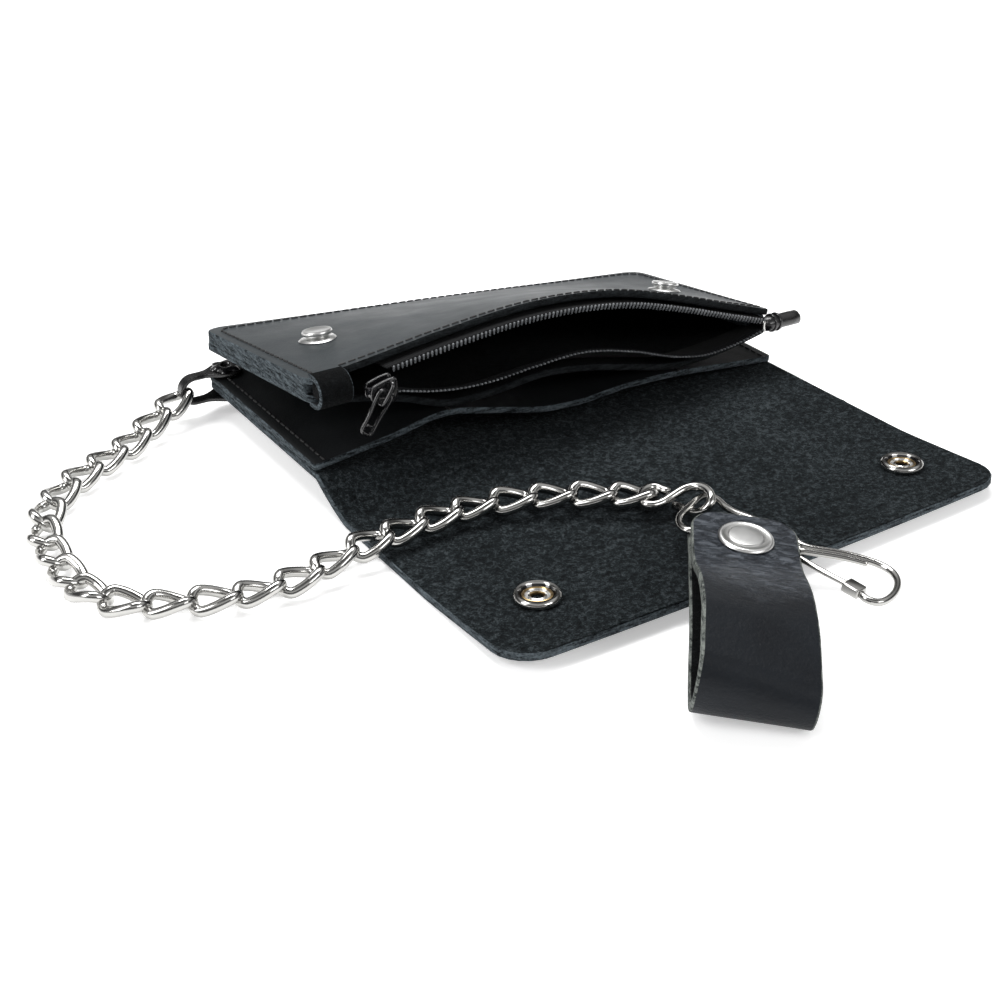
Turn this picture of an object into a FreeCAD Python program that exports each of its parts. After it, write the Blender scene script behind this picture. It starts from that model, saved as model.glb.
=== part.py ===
import FreeCAD, Part
import Sketcher
import math
import os

# Chain wallet lying open: a leather cover with a flap, a bill leaf, a zipped pouch,
# a curb chain with an S-hook, a wire snap clip and a snap belt loop.
# Model lengths are millimetres. X runs along the wallet, -Y towards the flap's rim, +Z up.
# Wallet coordinates start at the left end of the fold line; origin_x and origin_y move them
# to the middle of the open wallet.

DIMENSIONS = {
    "wallet_length": 180,
    "body_depth": 77,
    "flap_reach": 105.5,
    "flap_corner_radius": 11,
    "leather": 2.2,
    "gap": 0.3,
    "origin_x": 88.6,
    "origin_y": -14.266,
    "fold_axis_y": -14,
    "fold_axis_z": 3,
    "spine_near": 18,
    "spine_far": 54,
    "flap_near": 62,
    "flap_rise": 3.2,
    "stud_left_x": 21,
    "stud_right_x": 159.5,
    "stud_y": 36,
    "snap_inset": 22.5,
    "snap_reach": 81,
    "stud_flange_radius": 5.6,
    "stud_flange_height": 0.8,
    "stud_neck_radius": 2.3,
    "stud_neck_height": 1.1,
    "stud_head_radius": 4.2,
    "stud_head_height": 1.4,
    "rivet_radius": 4,
    "rivet_height": 0.8,
    "socket_radius": 6.5,
    "socket_height": 2.6,
    "socket_bore": 4.6,
    "socket_depth": 1.9,
    "cap_radius": 7.5,
    "cap_height": 0.8,
    "post_radius": 1.6,
    "post_bore_radius": 1.7,
    "welt_width": 8,
    "welt_thickness": 1.6,
    "tape_thickness": 0.6,
    "tape_inset": 7,
    "teeth_size": 2.2,
    "zip_start": 27,
    "zip_finish": 173,
    "slider_x": 20,
    "slider_z": 33.5,
    "slider_length": 9,
    "slider_width": 8,
    "slider_depth": 4.4,
    "pull_length": 13,
    "pull_width": 5.4,
    "pull_wire": 1.1,
    "chain_wire": 2.6,
    "chain_pitch": 11.2,
    "chain_width": 9.6,
    "chain_tilt": 35,
    "hook_wire": 2.6,
    "clip_wire": 2,
    "strap_width": 29,
    "strap_length": 82,
    "strap_height": 15,
    "strap_post_height": 2.2,
    "tab_width": 11,
    "tab_neck": 3,
    "tab_reach": 12,
    "tab_thickness": 1.3,
    "eyelet_radius": 4.6,
    "eyelet_height": 1.2,
}

doc = FreeCAD.newDocument("ChainWallet")
dims = doc.addObject("Spreadsheet::Sheet", "dims")
for row, (alias, value) in enumerate(DIMENSIONS.items(), start=1):
    dims.set(f"A{row}", alias)
    dims.set(f"B{row}", str(value))
    dims.setAlias(f"B{row}", alias)
doc.recompute()


def dim(alias):
    """A driving dimension, read from the sheet."""
    return float(getattr(dims, alias))


LEATHER = dim("leather")
GAP = dim("gap")
LENGTH = dim("wallet_length")
DEPTH = dim("body_depth")
SUBPARTS = []


def vec(x, y, z):
    """A point in wallet coordinates, moved into the part's frame."""
    return FreeCAD.Vector(x - dim("origin_x"), y - dim("origin_y"), z)


def keep(obj, label):
    obj.Label = label
    SUBPARTS.append(obj)
    return obj


def feature(label, shape):
    """A sub-part whose shape is worked out from the sheet in code."""
    obj = doc.addObject("Part::Feature", label)
    obj.Shape = shape
    return keep(obj, label)


# ---------------------------------------------------------------- leather sheets


def curve_through(points):
    """A height along the wallet's length, straight between hand-set (x, height) points."""

    def height(x):
        for (x0, z0), (x1, z1) in zip(points, points[1:]):
            if x <= x1:
                return z0 + (z1 - z0) * (x - x0) / (x1 - x0)
        return points[-1][1]

    return height


def stations(start, finish, count):
    return [start + (finish - start) * i / (count - 1) for i in range(count)]


def section(xs, y, low, high):
    """A closed upright outline at depth y between two height curves."""
    bottom = [vec(x, y, low(x)) for x in xs]
    top = [vec(x, y, high(x)) for x in reversed(xs)]
    return Part.makePolygon(bottom + top + bottom[:1])


def ruled_sheet(xs, front_y, front_low, back_y, back_low, thickness, back_thickness=None):
    """A sheet of leather ruled between its waved front edge and its back edge."""
    if back_thickness is None:
        back_thickness = thickness
    front = section(xs, front_y, front_low, lambda x: front_low(x) + thickness)
    back = section(xs, back_y, back_low, lambda x: back_low(x) + back_thickness)
    return Part.makeLoft([front, back], True, True)


cover_lift = curve_through([(0, 7.5), (30, 4.4), (60, 2.0), (90, 0.5), (110, 0), (180, 0)])
leaf_front = curve_through(
    [
        (0, 10.1), (25, 13.3), (46, 16.4), (62, 12.8), (84, 7.8),
        (96, 7.0), (114, 7.9), (137, 7.1), (160, 4.6), (180, 2.5),
    ]
)
leaf_back = curve_through([(0, 9.9), (46, 13.9), (92, 6.3), (137, 5.8), (180, 2.5)])
pouch_front = curve_through(
    [
        (0, 31.5), (29, 25), (46, 19.0), (60, 18.4), (85, 19.8),
        (101, 17.6), (114, 14.6), (137, 9.7), (157, 10.6), (180, 14.6),
    ]
)
pouch_back = curve_through([(0, 20.5), (180, 5.0)])
top_front = curve_through(
    [
        (0, 36.3), (22, 38.8), (47, 41.8), (78, 43.8), (96, 42.8),
        (114, 39.9), (135, 33.9), (157, 26.5), (180, 19.0),
    ]
)
top_back = curve_through([(0, 24.8), (180, 9.1)])
SHEET_XS = [0, 12, 25, 36, 46, 54, 62, 73, 84, 96, 105, 114, 126, 137, 148, 160, 170, 180]
FRONT = 1.0
TOP_FRONT = 2.0

feature("cover_back", ruled_sheet(SHEET_XS, 0, cover_lift, DEPTH, cover_lift, LEATHER))
feature("bill_leaf", ruled_sheet(SHEET_XS, 0, leaf_front, DEPTH, leaf_back, LEATHER))
feature("pouch_bottom", ruled_sheet(SHEET_XS, FRONT, pouch_front, DEPTH, pouch_back, LEATHER))
feature("pouch_top", ruled_sheet(SHEET_XS, TOP_FRONT, top_front, DEPTH, top_back, LEATHER))


def along_depth(front, back, y, front_y):
    """A height curve at depth y of a sheet ruled from its front edge to its back edge."""
    share = (y - front_y) / (DEPTH - front_y)
    return lambda x: front(x) + (back(x) - front(x)) * share


def welt(label, xs, near_y, far_y):
    """A filler strip sewn between the two pouch leathers."""

    def low(y):
        under = along_depth(pouch_front, pouch_back, y, FRONT)
        return lambda x: under(x) + LEATHER + 0.15

    def thick(y):
        over = along_depth(top_front, top_back, y, TOP_FRONT)
        return min(over(x) - low(y)(x) for x in xs) - 0.15

    shape = ruled_sheet(xs, near_y, low(near_y), far_y, low(far_y), thick(near_y), thick(far_y))
    feature(label, shape)


WELT = dim("welt_width")
welt("side_welt_left", [0, WELT], 8, DEPTH - WELT - 0.2)
welt("side_welt_right", [LENGTH - WELT, LENGTH], 8, DEPTH - WELT - 0.2)
welt("back_welt", stations(0, LENGTH, 5), DEPTH - WELT, DEPTH)

fold_far = dim("spine_near")
fold_flat = curve_through([(0, 0), (180, 0)])
feature("cover_fold", ruled_sheet(SHEET_XS, -fold_far, fold_flat, -0.05, cover_lift, LEATHER))

# ---------------------------------------------------------------- flap plates


def bound_box(name, length, width, height, x, y, z):
    """A Part::Box whose sizes and corner follow expressions of the sheet."""
    box = doc.addObject("Part::Box", name)
    box.setExpression("Length", length)
    box.setExpression("Width", width)
    box.setExpression("Height", height)
    box.setExpression("Placement.Base.x", x)
    box.setExpression("Placement.Base.y", y)
    box.setExpression("Placement.Base.z", z)
    return box


spine = bound_box(
    "SpinePlate",
    "dims.wallet_length",
    "dims.spine_far - dims.spine_near - 0.1",
    "dims.leather",
    "-dims.origin_x",
    "-dims.spine_far - dims.origin_y",
    "0",
)
keep(spine, "cover_spine")

bridge = bound_box(
    "BridgePlate",
    "dims.wallet_length",
    "dims.flap_near - dims.spine_far - 0.2",
    "dims.leather",
    "-dims.origin_x",
    "-dims.flap_near + 0.1 - dims.origin_y",
    "0",
)
keep(bridge, "cover_bridge")


def flap_plate():
    """The flap: a plate with two round corners, lifted at its rim by the snap caps."""
    body = doc.addObject("PartDesign::Body", "FlapBody")
    plane = [o for o in body.Origin.OriginFeatures if o.Role == "XY_Plane"][0]
    sketch = body.newObject("Sketcher::SketchObject", "FlapOutline")
    sketch.AttachmentSupport = [(plane, "")]
    sketch.MapMode = "FlatFace"
    width = LENGTH
    reach = dim("flap_reach") - dim("flap_near")
    corners = [(0, 0), (0, -reach), (width, -reach), (width, 0)]
    for (x0, y0), (x1, y1) in zip(corners, corners[1:] + corners[:1]):
        start = FreeCAD.Vector(x0, y0, 0)
        end = FreeCAD.Vector(x1, y1, 0)
        sketch.addGeometry(Part.LineSegment(start, end), False)
    for side in range(4):
        sketch.addConstraint(Sketcher.Constraint("Coincident", side, 2, (side + 1) % 4, 1))
    sketch.addConstraint(Sketcher.Constraint("Vertical", 0))
    sketch.addConstraint(Sketcher.Constraint("Vertical", 2))
    sketch.addConstraint(Sketcher.Constraint("Horizontal", 1))
    sketch.addConstraint(Sketcher.Constraint("Horizontal", 3))
    sketch.addConstraint(Sketcher.Constraint("Coincident", 0, 1, -1, 1))
    across = sketch.addConstraint(Sketcher.Constraint("DistanceX", 1, 1, 1, 2, width))
    down = sketch.addConstraint(Sketcher.Constraint("DistanceY", 0, 2, 0, 1, reach))
    sketch.setExpression(f"Constraints[{across}]", "dims.wallet_length")
    sketch.setExpression(f"Constraints[{down}]", "dims.flap_reach - dims.flap_near")
    pad = body.newObject("PartDesign::Pad", "FlapPad")
    pad.Profile = sketch
    pad.setExpression("Length", "dims.leather")
    doc.recompute()
    rim_edges = []
    for number, edge in enumerate(pad.Shape.Edges, start=1):
        middle = edge.CenterOfMass
        upright = abs(edge.Vertexes[0].Point.z - edge.Vertexes[-1].Point.z) > 1
        if upright and middle.y < -reach / 2:
            rim_edges.append(f"Edge{number}")
    fillet = body.newObject("PartDesign::Fillet", "FlapCorners")
    fillet.Base = (pad, rim_edges)
    fillet.setExpression("Radius", "dims.flap_corner_radius")
    body.Tip = fillet
    rise = math.degrees(math.atan2(dim("flap_rise"), reach))
    turn = FreeCAD.Rotation(FreeCAD.Vector(1, 0, 0), -rise)
    body.Placement = FreeCAD.Placement(vec(0, -dim("flap_near") - 0.15, 0), turn)
    doc.recompute()
    return keep(body, "cover_flap")


flap = flap_plate()
FLAP_RISE = dim("flap_rise") / (dim("flap_reach") - dim("flap_near"))


def flap_surface(y):
    """Height of the flap's upper face at wallet depth y."""
    return LEATHER + max(0.0, (-y - dim("flap_near")) * FLAP_RISE)


# ---------------------------------------------------------------- snap fasteners


def bound_cylinder(name, radius, height, placement):
    cyl = doc.addObject("Part::Cylinder", name)
    cyl.setExpression("Radius", radius)
    cyl.setExpression("Height", height)
    cyl.Placement = placement
    return cyl


def lift(placement, height):
    """The placement moved up along its own axis."""
    return placement.multiply(FreeCAD.Placement(FreeCAD.Vector(0, 0, height), FreeCAD.Rotation()))


def facing(point, normal):
    return FreeCAD.Placement(point, FreeCAD.Rotation(FreeCAD.Vector(0, 0, 1), normal))


def top_face(x, y):
    """Place and normal of the pouch top's upper face."""
    height = lambda a, b: along_depth(top_front, top_back, b, TOP_FRONT)(a) + LEATHER
    slope_x = (height(x + 6, y) - height(x - 6, y)) / 12
    slope_y = (height(x, y + 6) - height(x, y - 6)) / 12
    return vec(x, y, height(x, y)), FreeCAD.Vector(-slope_x, -slope_y, 1).normalize()


def stud(side, x):
    """Male snap half: a flange, a neck and a head above the pouch leather."""
    point, normal = top_face(x, dim("stud_y"))
    foot = lift(facing(point, normal), 0.35)
    flange = bound_cylinder(f"StudFlange{side}", "dims.stud_flange_radius", "dims.stud_flange_height", foot)
    neck_at = lift(foot, dim("stud_flange_height") - 0.1)
    neck_height = "dims.stud_neck_height + 0.2"
    neck = bound_cylinder(f"StudNeck{side}", "dims.stud_neck_radius", neck_height, neck_at)
    head_at = lift(foot, dim("stud_flange_height") + dim("stud_neck_height"))
    head = bound_cylinder(f"StudHead{side}", "dims.stud_head_radius", "dims.stud_head_height", head_at)
    fuse = doc.addObject("Part::MultiFuse", f"Stud{side}")
    fuse.Shapes = [flange, neck, head]
    keep(fuse, f"snap_stud_{side}")
    rivet_at = lift(facing(point, normal), -LEATHER - dim("rivet_height") - 0.35)
    rivet = bound_cylinder(f"Rivet{side}", "dims.rivet_radius", "dims.rivet_height", rivet_at)
    keep(rivet, f"stud_rivet_{side}")


stud("left", dim("stud_left_x"))
stud("right", dim("stud_right_x"))

FLAP_NORMAL = FreeCAD.Vector(0, FLAP_RISE, 1).normalize()


def socket(side, x):
    """Female snap half on the flap's inner face, with its cap on the outer face."""
    y = -dim("snap_reach")
    point = vec(x, y, flap_surface(y))
    seat = lift(facing(point, FLAP_NORMAL), 0.02)
    shell = bound_cylinder(f"SocketShell{side}", "dims.socket_radius", "dims.socket_height", seat)
    bore_at = lift(seat, dim("socket_height") - dim("socket_depth"))
    bore = bound_cylinder(f"SocketBore{side}", "dims.socket_bore", "dims.socket_depth + 1", bore_at)
    post_hole = bound_cylinder(f"SocketHole{side}", "dims.post_bore_radius", "dims.socket_height", seat)
    tools = doc.addObject("Part::MultiFuse", f"SocketTools{side}")
    tools.Shapes = [bore, post_hole]
    cut = doc.addObject("Part::Cut", f"Socket{side}")
    cut.Base = shell
    cut.Tool = tools
    keep(cut, f"snap_socket_{side}")
    cap_at = lift(facing(point, FLAP_NORMAL), -LEATHER - dim("cap_height") - 0.02)
    cap = bound_cylinder(f"Cap{side}", "dims.cap_radius", "dims.cap_height", cap_at)
    keep(cap, f"snap_cap_{side}")


socket("left", dim("snap_inset"))
socket("right", LENGTH - dim("snap_inset") + 1.5)

# ---------------------------------------------------------------- zip

zip_xs = [dim("zip_start"), 38, 46, 54, 62, 73, 84, 96, 105, 114, 126, 137, 148, 160, dim("zip_finish")]
TEETH = dim("teeth_size")
TAPE = dim("tape_thickness")
TAPE_BACK = dim("tape_inset")
TAPE_FRONT = -0.8
upper_row = lambda x: top_front(x) - 1.2 - TEETH / 2
lower_row = curve_through(
    [
        (27, 29.5), (38, 26.6), (48, 25.0), (58, 24.5), (76, 25.6), (94, 26.0),
        (114, 21.6), (134, 15.0), (146, 12.9), (156, 13.3), (173, 16.4),
    ]
)


def tape(label, row, inner):
    """Zip tape from its seam under or over the leather to its row of teeth."""
    seam = lambda x: inner(x)
    edge = lambda x: row(x) + TEETH / 2 - TAPE / 2
    feature(label, ruled_sheet(zip_xs, TAPE_FRONT, edge, TAPE_BACK, seam, TAPE))


over_seam = along_depth(top_front, top_back, TAPE_BACK, TOP_FRONT)
under_seam = along_depth(pouch_front, pouch_back, TAPE_BACK, FRONT)
tape("zip_tape_upper", upper_row, lambda x: over_seam(x) - TAPE - 0.1)
tape("zip_tape_lower", lower_row, lambda x: under_seam(x) + LEATHER + 0.1)


def teeth(label, row):
    """One row of the zip's coil as a plain bar."""
    feature(label, ruled_sheet(zip_xs, TAPE_FRONT - 0.1 - TEETH, row, TAPE_FRONT - 0.1, row, TEETH))


teeth("zip_teeth_upper", upper_row)
teeth("zip_teeth_lower", lower_row)


def end_tab(label, x, length, y, width, z, height):
    box = Part.makeBox(length, width, height, vec(x, y, z))
    upright = [edge for edge in box.Edges if abs(edge.Curve.Direction.x) > 0.9]
    feature(label, box.makeFillet(1.4, upright))


end_tab("zip_tab_left", 1.5, 11, -3.6, 4.4, 31.0, 7.6)
end_tab("zip_tab_right", 175.5, 13.7, -4.8, 5.6, 15.6, 6.2)

SLIDER_Y = -4.7
SLIDER = vec(dim("slider_x"), SLIDER_Y, dim("slider_z"))

PULL_LEAN = math.radians(32.7)
PULL_DOWN = FreeCAD.Vector(-math.sin(PULL_LEAN), 0, -math.cos(PULL_LEAN))
PULL_SIDE = FreeCAD.Vector(math.cos(PULL_LEAN), 0, -math.sin(PULL_LEAN))
EYE_ROOM = 1.7


def slider():
    """Zip slider: two plates joined by a bridge, and the loop that carries the pull."""
    half = dim("slider_length") / 2
    width = dim("slider_width")
    depth = dim("slider_depth")
    plate = 1.1
    front = Part.makeBox(2 * half, plate, width, SLIDER + FreeCAD.Vector(-half, -depth / 2, -width / 2))
    back_at = SLIDER + FreeCAD.Vector(-half, depth / 2 - plate, -width / 2)
    back = Part.makeBox(2 * half, plate, width, back_at)
    bridge_part = Part.makeBox(2.2, depth, 2.4, SLIDER + FreeCAD.Vector(-half, -depth / 2, -1.2))
    wall = 0.9
    loop_half = 3.3
    loop_width = 2.2
    front_y = -depth / 2 - EYE_ROOM - wall
    loop_at = FreeCAD.Vector(-loop_width / 2, front_y, -loop_half)
    bar = Part.makeBox(loop_width, wall, 2 * loop_half, loop_at)
    foot = Part.makeBox(loop_width, EYE_ROOM + wall, wall, loop_at)
    other_foot = foot.translated(FreeCAD.Vector(0, 0, 2 * loop_half - wall))
    loop = bar.multiFuse([foot, other_foot])
    loop.rotate(FreeCAD.Vector(0, 0, 0), FreeCAD.Vector(0, 1, 0), math.degrees(PULL_LEAN))
    loop.translate(SLIDER)
    feature("zip_slider", front.multiFuse([back, bridge_part, loop]).removeSplitter())


slider()


def swept(path, radius):
    """A round wire swept along a smooth path that starts straight."""
    edge = path.Edges[0]
    start = edge.valueAt(edge.FirstParameter)
    tangent = edge.tangentAt(edge.FirstParameter)
    circle = Part.Wire(Part.makeCircle(radius, start, tangent))
    shape = path.makePipeShell([circle], True, False)
    return shape


def rounded_path(points, radius, close=False):
    """Straight runs joined by tangent arcs, as one wire."""
    count = len(points)
    corners = range(count) if close else range(1, count - 1)
    ends = {}
    arcs = {}
    for i in corners:
        here = points[i]
        before = (points[i - 1] - here).normalize()
        after = (points[(i + 1) % count] - here).normalize()
        half_turn = before.getAngle(after) / 2
        run = min((points[i - 1] - here).Length, (points[(i + 1) % count] - here).Length)
        reach = min(radius / math.tan(half_turn), 0.45 * run)
        actual = reach * math.tan(half_turn)
        centre_dir = (before + after).normalize()
        middle = here + centre_dir * (actual / math.sin(half_turn) - actual)
        ends[i] = (here + before * reach, here + after * reach)
        arcs[i] = Part.Arc(ends[i][0], middle, ends[i][1]).toShape()
    edges = []
    if not close:
        edges.append(Part.LineSegment(points[0], ends[1][0]).toShape())
    for i in corners:
        edges.append(arcs[i])
        if i + 1 < count and (i + 1) in ends:
            edges.append(Part.LineSegment(ends[i][1], ends[i + 1][0]).toShape())
        elif close:
            edges.append(Part.LineSegment(ends[i][1], ends[0][0]).toShape())
        else:
            edges.append(Part.LineSegment(ends[i][1], points[-1]).toShape())
    return Part.Wire(edges)


def closed_ring(points, corner, radius):
    """A closed wire frame: the path is opened at the middle of its first run."""
    start = (points[0] + points[1]) * 0.5
    turned = points[1:] + points[:1]
    path = rounded_path([start] + turned + [start], corner)
    return swept(path, radius)


def pull():
    """Frame-shaped zip pull that hangs from the slider's loop."""
    down = PULL_DOWN
    side = PULL_SIDE
    eye = SLIDER + FreeCAD.Vector(0, -dim("slider_depth") / 2 - EYE_ROOM / 2, 0)
    half = dim("pull_width") / 2
    long_run = dim("pull_length")
    corners = [
        eye + side * half,
        eye + side * half * 0.8 + down * long_run,
        eye - side * half * 0.8 + down * long_run,
        eye - side * half,
    ]
    feature("zip_pull", closed_ring(corners, 1.2, dim("pull_wire") / 2))


pull()

# ---------------------------------------------------------------- chain tab and eyelet


def chain_tab():
    """Leather loop folded round the back-left edge: two round pads joined by a narrow neck."""
    pad_x = 4.5
    pad_y = 71.0
    pad = dim("tab_width") / 2
    thick = dim("tab_thickness")
    leaf_at = along_depth(leaf_front, leaf_back, pad_y - pad, 0)
    low = cover_lift(pad_x + pad) - thick - GAP
    high = leaf_at(pad_x + pad) + LEATHER + GAP
    outer = (high - low + thick) / 2
    inner = outer - thick
    middle = low + outer
    turn = dim("tab_reach") - outer
    neck_back = pad_y - dim("tab_neck") / 2
    at = lambda x, z: vec(x, neck_back, middle + z)
    outline = [
        Part.LineSegment(at(pad_x, outer), at(-turn, outer)).toShape(),
        Part.Arc(at(-turn, outer), at(-turn - outer, 0), at(-turn, -outer)).toShape(),
        Part.LineSegment(at(-turn, -outer), at(pad_x, -outer)).toShape(),
        Part.LineSegment(at(pad_x, -outer), at(pad_x, -inner)).toShape(),
        Part.LineSegment(at(pad_x, -inner), at(-turn, -inner)).toShape(),
        Part.Arc(at(-turn, -inner), at(-turn - inner, 0), at(-turn, inner)).toShape(),
        Part.LineSegment(at(-turn, inner), at(pad_x, inner)).toShape(),
        Part.LineSegment(at(pad_x, inner), at(pad_x, outer)).toShape(),
    ]
    neck = Part.Face(Part.Wire(outline)).extrude(FreeCAD.Vector(0, dim("tab_neck"), 0))
    upper_pad = Part.makeCylinder(pad, thick, vec(pad_x, pad_y, middle + inner))
    lower_pad = Part.makeCylinder(pad, thick, vec(pad_x, pad_y, middle - outer))
    feature("chain_tab", neck.multiFuse([upper_pad, lower_pad]).removeSplitter())
    seat = facing(vec(pad_x, pad_y, middle + outer + 0.02), FreeCAD.Vector(0, 0, 1))
    ring = bound_cylinder("EyeletRing", "dims.eyelet_radius", "dims.eyelet_height", seat)
    hole = bound_cylinder("EyeletHole", "dims.post_bore_radius", "dims.eyelet_height", seat)
    cut = doc.addObject("Part::Cut", "Eyelet")
    cut.Base = ring
    cut.Tool = hole
    keep(cut, "tab_eyelet")


chain_tab()

# ---------------------------------------------------------------- chain

# The chain's route on the table and over the flap, in wallet coordinates.
CHAIN_ROUTE = [
    (-9.2, 71, 8.7),
    (-19, 68, 7.0),
    (-29, 60, 4.2),
    (-40, 53.5, 3.6),
    (-54, 46, 3.6),
    (-66, 36, 3.6),
    (-74, 24, 3.6),
    (-76.5, 10, 3.6),
    (-77, -6, 3.6),
    (-74, -20, 3.6),
    (-66, -29, 3.6),
    (-52, -35.5, 3.6),
    (-38, -39.5, 3.6),
    (-24, -40, 3.8),
    (-11, -37.5, 5.2),
    (0, -36.8, 6.3),
    (14, -35.6, 6.3),
    (28, -35.2, 6.3),
    (42, -38.2, 6.6),
    (54, -43.5, 7.0),
    (66.5, -51.3, 7.3),
    (78.3, -59.5, 7.3),
]


def stadium(length, width, radius):
    """A link centred on the origin, long along X, flat in the XY plane."""
    half = length / 2 - width / 2
    r = width / 2
    p = FreeCAD.Vector
    edges = [
        Part.LineSegment(p(0, r, 0), p(half, r, 0)).toShape(),
        Part.Arc(p(half, r, 0), p(half + r, 0, 0), p(half, -r, 0)).toShape(),
        Part.LineSegment(p(half, -r, 0), p(-half, -r, 0)).toShape(),
        Part.Arc(p(-half, -r, 0), p(-half - r, 0, 0), p(-half, r, 0)).toShape(),
        Part.LineSegment(p(-half, r, 0), p(0, r, 0)).toShape(),
    ]
    return swept(Part.Wire(edges), radius)


def link_places(route, pitch):
    """Centres and directions of links set a pitch apart along the route's smooth curve."""
    points = [vec(*point) for point in route]
    path = rounded_path(points, 400)
    count = int(path.Length / pitch)
    marks = path.discretize(2 * count + 1)
    places = []
    for i in range(count):
        ahead = (marks[2 * i + 2] - marks[2 * i]).normalize()
        places.append((marks[2 * i + 1], ahead))
    print("chain length", round(path.Length, 1), "links", count, "pitch", round(path.Length / count, 2))
    return places


def chain():
    wire = dim("chain_wire")
    link = stadium(dim("chain_pitch") + wire, dim("chain_width") - wire, wire / 2)
    up = FreeCAD.Vector(0, 0, 1)
    links = []
    places = link_places(CHAIN_ROUTE, dim("chain_pitch"))
    for number, (centre, ahead) in enumerate(places):
        side = up.cross(ahead).normalize()
        turn = FreeCAD.Rotation(ahead, side, ahead.cross(side), "XZY")
        lean = dim("chain_tilt") * (1 if number % 2 else -1)
        if number == 0:
            lean = 0
        if number == len(places) - 1:
            lean = 80
        tilt = FreeCAD.Rotation(FreeCAD.Vector(1, 0, 0), lean)
        copy = link.copy()
        copy.Placement = FreeCAD.Placement(centre, turn.multiply(tilt))
        links.append(copy)
    feature("chain_links", Part.makeCompound(links))


chain()


def s_hook():
    """Open figure-eight hook: one loop holds the last link, the other the clip's bail."""
    pts = [
        (83.2, -60.8, 7.3),
        (82.6, -56.0, 7.3),
        (79.1, -55.0, 7.3),
        (74.3, -58.0, 7.3),
        (72.7, -63.2, 7.3),
        (76.5, -64.8, 7.5),
        (81.4, -64.1, 8.3),
        (85.8, -64.1, 9.5),
        (88.5, -66.0, 10.6),
        (89.4, -69.7, 11.2),
        (87.8, -74.2, 10.8),
        (85.6, -75.2, 8.6),
        (83.8, -72.6, 6.0),
        (83.5, -67.7, 5.0),
        (82.9, -63.4, 4.9),
    ]
    path = rounded_path([vec(*p) for p in pts], 400)
    feature("s_hook", swept(path, dim("hook_wire") / 2))


s_hook()

# ---------------------------------------------------------------- belt loop and clip

LOOP_TOP = vec(84.6, -89.35, 6.4)
along_strap = FreeCAD.Vector(-0.635, -0.773, -0.02).normalize()
across_strap = FreeCAD.Vector(0.771, -0.634, -0.085)
across_strap = (across_strap - along_strap * across_strap.dot(along_strap)).normalize()
strap_normal = across_strap.cross(along_strap).normalize() * -1
if strap_normal.z < 0:
    strap_normal = strap_normal * -1


def strap_point(distance, side, height):
    """A point of the belt loop: along the strap, across it, and above the flap under it."""
    return LOOP_TOP + along_strap * distance + across_strap * side + strap_normal * height


def strap_layer(label, centre_line, thickness, distances):
    """A strap layer between distances, extruded across the strap's width."""
    half = dim("strap_width") / 2
    lower = [strap_point(d, -half, centre_line(d) - thickness / 2) for d in distances]
    upper = [strap_point(d, -half, centre_line(d) + thickness / 2) for d in reversed(distances)]
    face = Part.Face(Part.makePolygon(lower + upper + lower[:1]))
    feature(label, face.extrude(across_strap * dim("strap_width")))


STRAP = 2.2
STRAP_LOW = 1.8
STRAP_HIGH = STRAP_LOW + STRAP + 2.5
loop_end = dim("strap_length")
SNAP_AT = 13


def back_line(d):
    """Centre height of the strap's lower layer."""
    drop = 4.1 * min(1.0, max(0.0, (d - 46) / 22))
    return STRAP_LOW - drop


def front_line(d):
    """Centre height of the strap's upper layer, arched between the snap and the turn."""
    share = min(1.0, max(0.0, (d - 22) / (loop_end - 22)))
    arch = math.sin(math.pi * share) ** 0.8 if 0 < share < 1 else 0.0
    return STRAP_HIGH - 1.6 * share + (dim("strap_height") - 8.5) * arch


flat_run = [0, 8, 16, 24, 32, 40, 48, 56, 64, 73]
strap_layer("belt_loop_back", back_line, STRAP, flat_run)
strap_layer("belt_loop_front", front_line, STRAP, flat_run)


def strap_fold():
    """The strap's folded end between its layers, with the hole for the snap's post."""
    low = strap_point(8.6, -dim("strap_width") / 2, 3.25)
    plate = Part.Face(
        Part.makePolygon([
            low,
            low + along_strap * 15.4,
            low + along_strap * 15.4 + strap_normal * 1.8,
            low + strap_normal * 1.8,
            low,
        ])
    ).extrude(across_strap * 25.5)
    hole = Part.makeCylinder(3.0, 6, strap_point(SNAP_AT, 0, 1.5), strap_normal)
    feature("belt_loop_fold", plate.cut(hole))


strap_fold()


def strap_turn():
    """The narrow turn at the belt loop's far end that joins its two layers."""
    start = 73.1
    low = back_line(start)
    high = front_line(start)
    half = dim("strap_width") / 2
    middle = (low + high) / 2
    outer = (high - low) / 2 + STRAP / 2
    inner = outer - STRAP
    at = lambda d, h: strap_point(start + d, -half, middle + h)
    edges = [
        Part.Arc(at(0, outer), at(outer, 0), at(0, -outer)).toShape(),
        Part.LineSegment(at(0, -outer), at(0, -inner)).toShape(),
        Part.Arc(at(0, -inner), at(inner, 0), at(0, inner)).toShape(),
        Part.LineSegment(at(0, inner), at(0, outer)).toShape(),
    ]
    face = Part.Face(Part.Wire(edges))
    feature("belt_loop_turn", face.extrude(across_strap * dim("strap_width")))


strap_turn()


def strap_snap():
    """Cap, socket and post that close the belt loop's two ends."""
    cap_at = facing(strap_point(SNAP_AT, 0, STRAP_HIGH + STRAP / 2 + 0.75), strap_normal)
    cap = bound_cylinder("LoopCap", "dims.cap_radius", "dims.cap_height * 1.6", cap_at)
    keep(cap, "belt_loop_cap")
    post_at = facing(strap_point(SNAP_AT, 0, STRAP_LOW + STRAP / 2 + 0.1), strap_normal)
    body = bound_cylinder("LoopStud", "dims.stud_neck_radius", "dims.strap_post_height", post_at)
    keep(body, "belt_loop_stud")


strap_snap()

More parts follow.
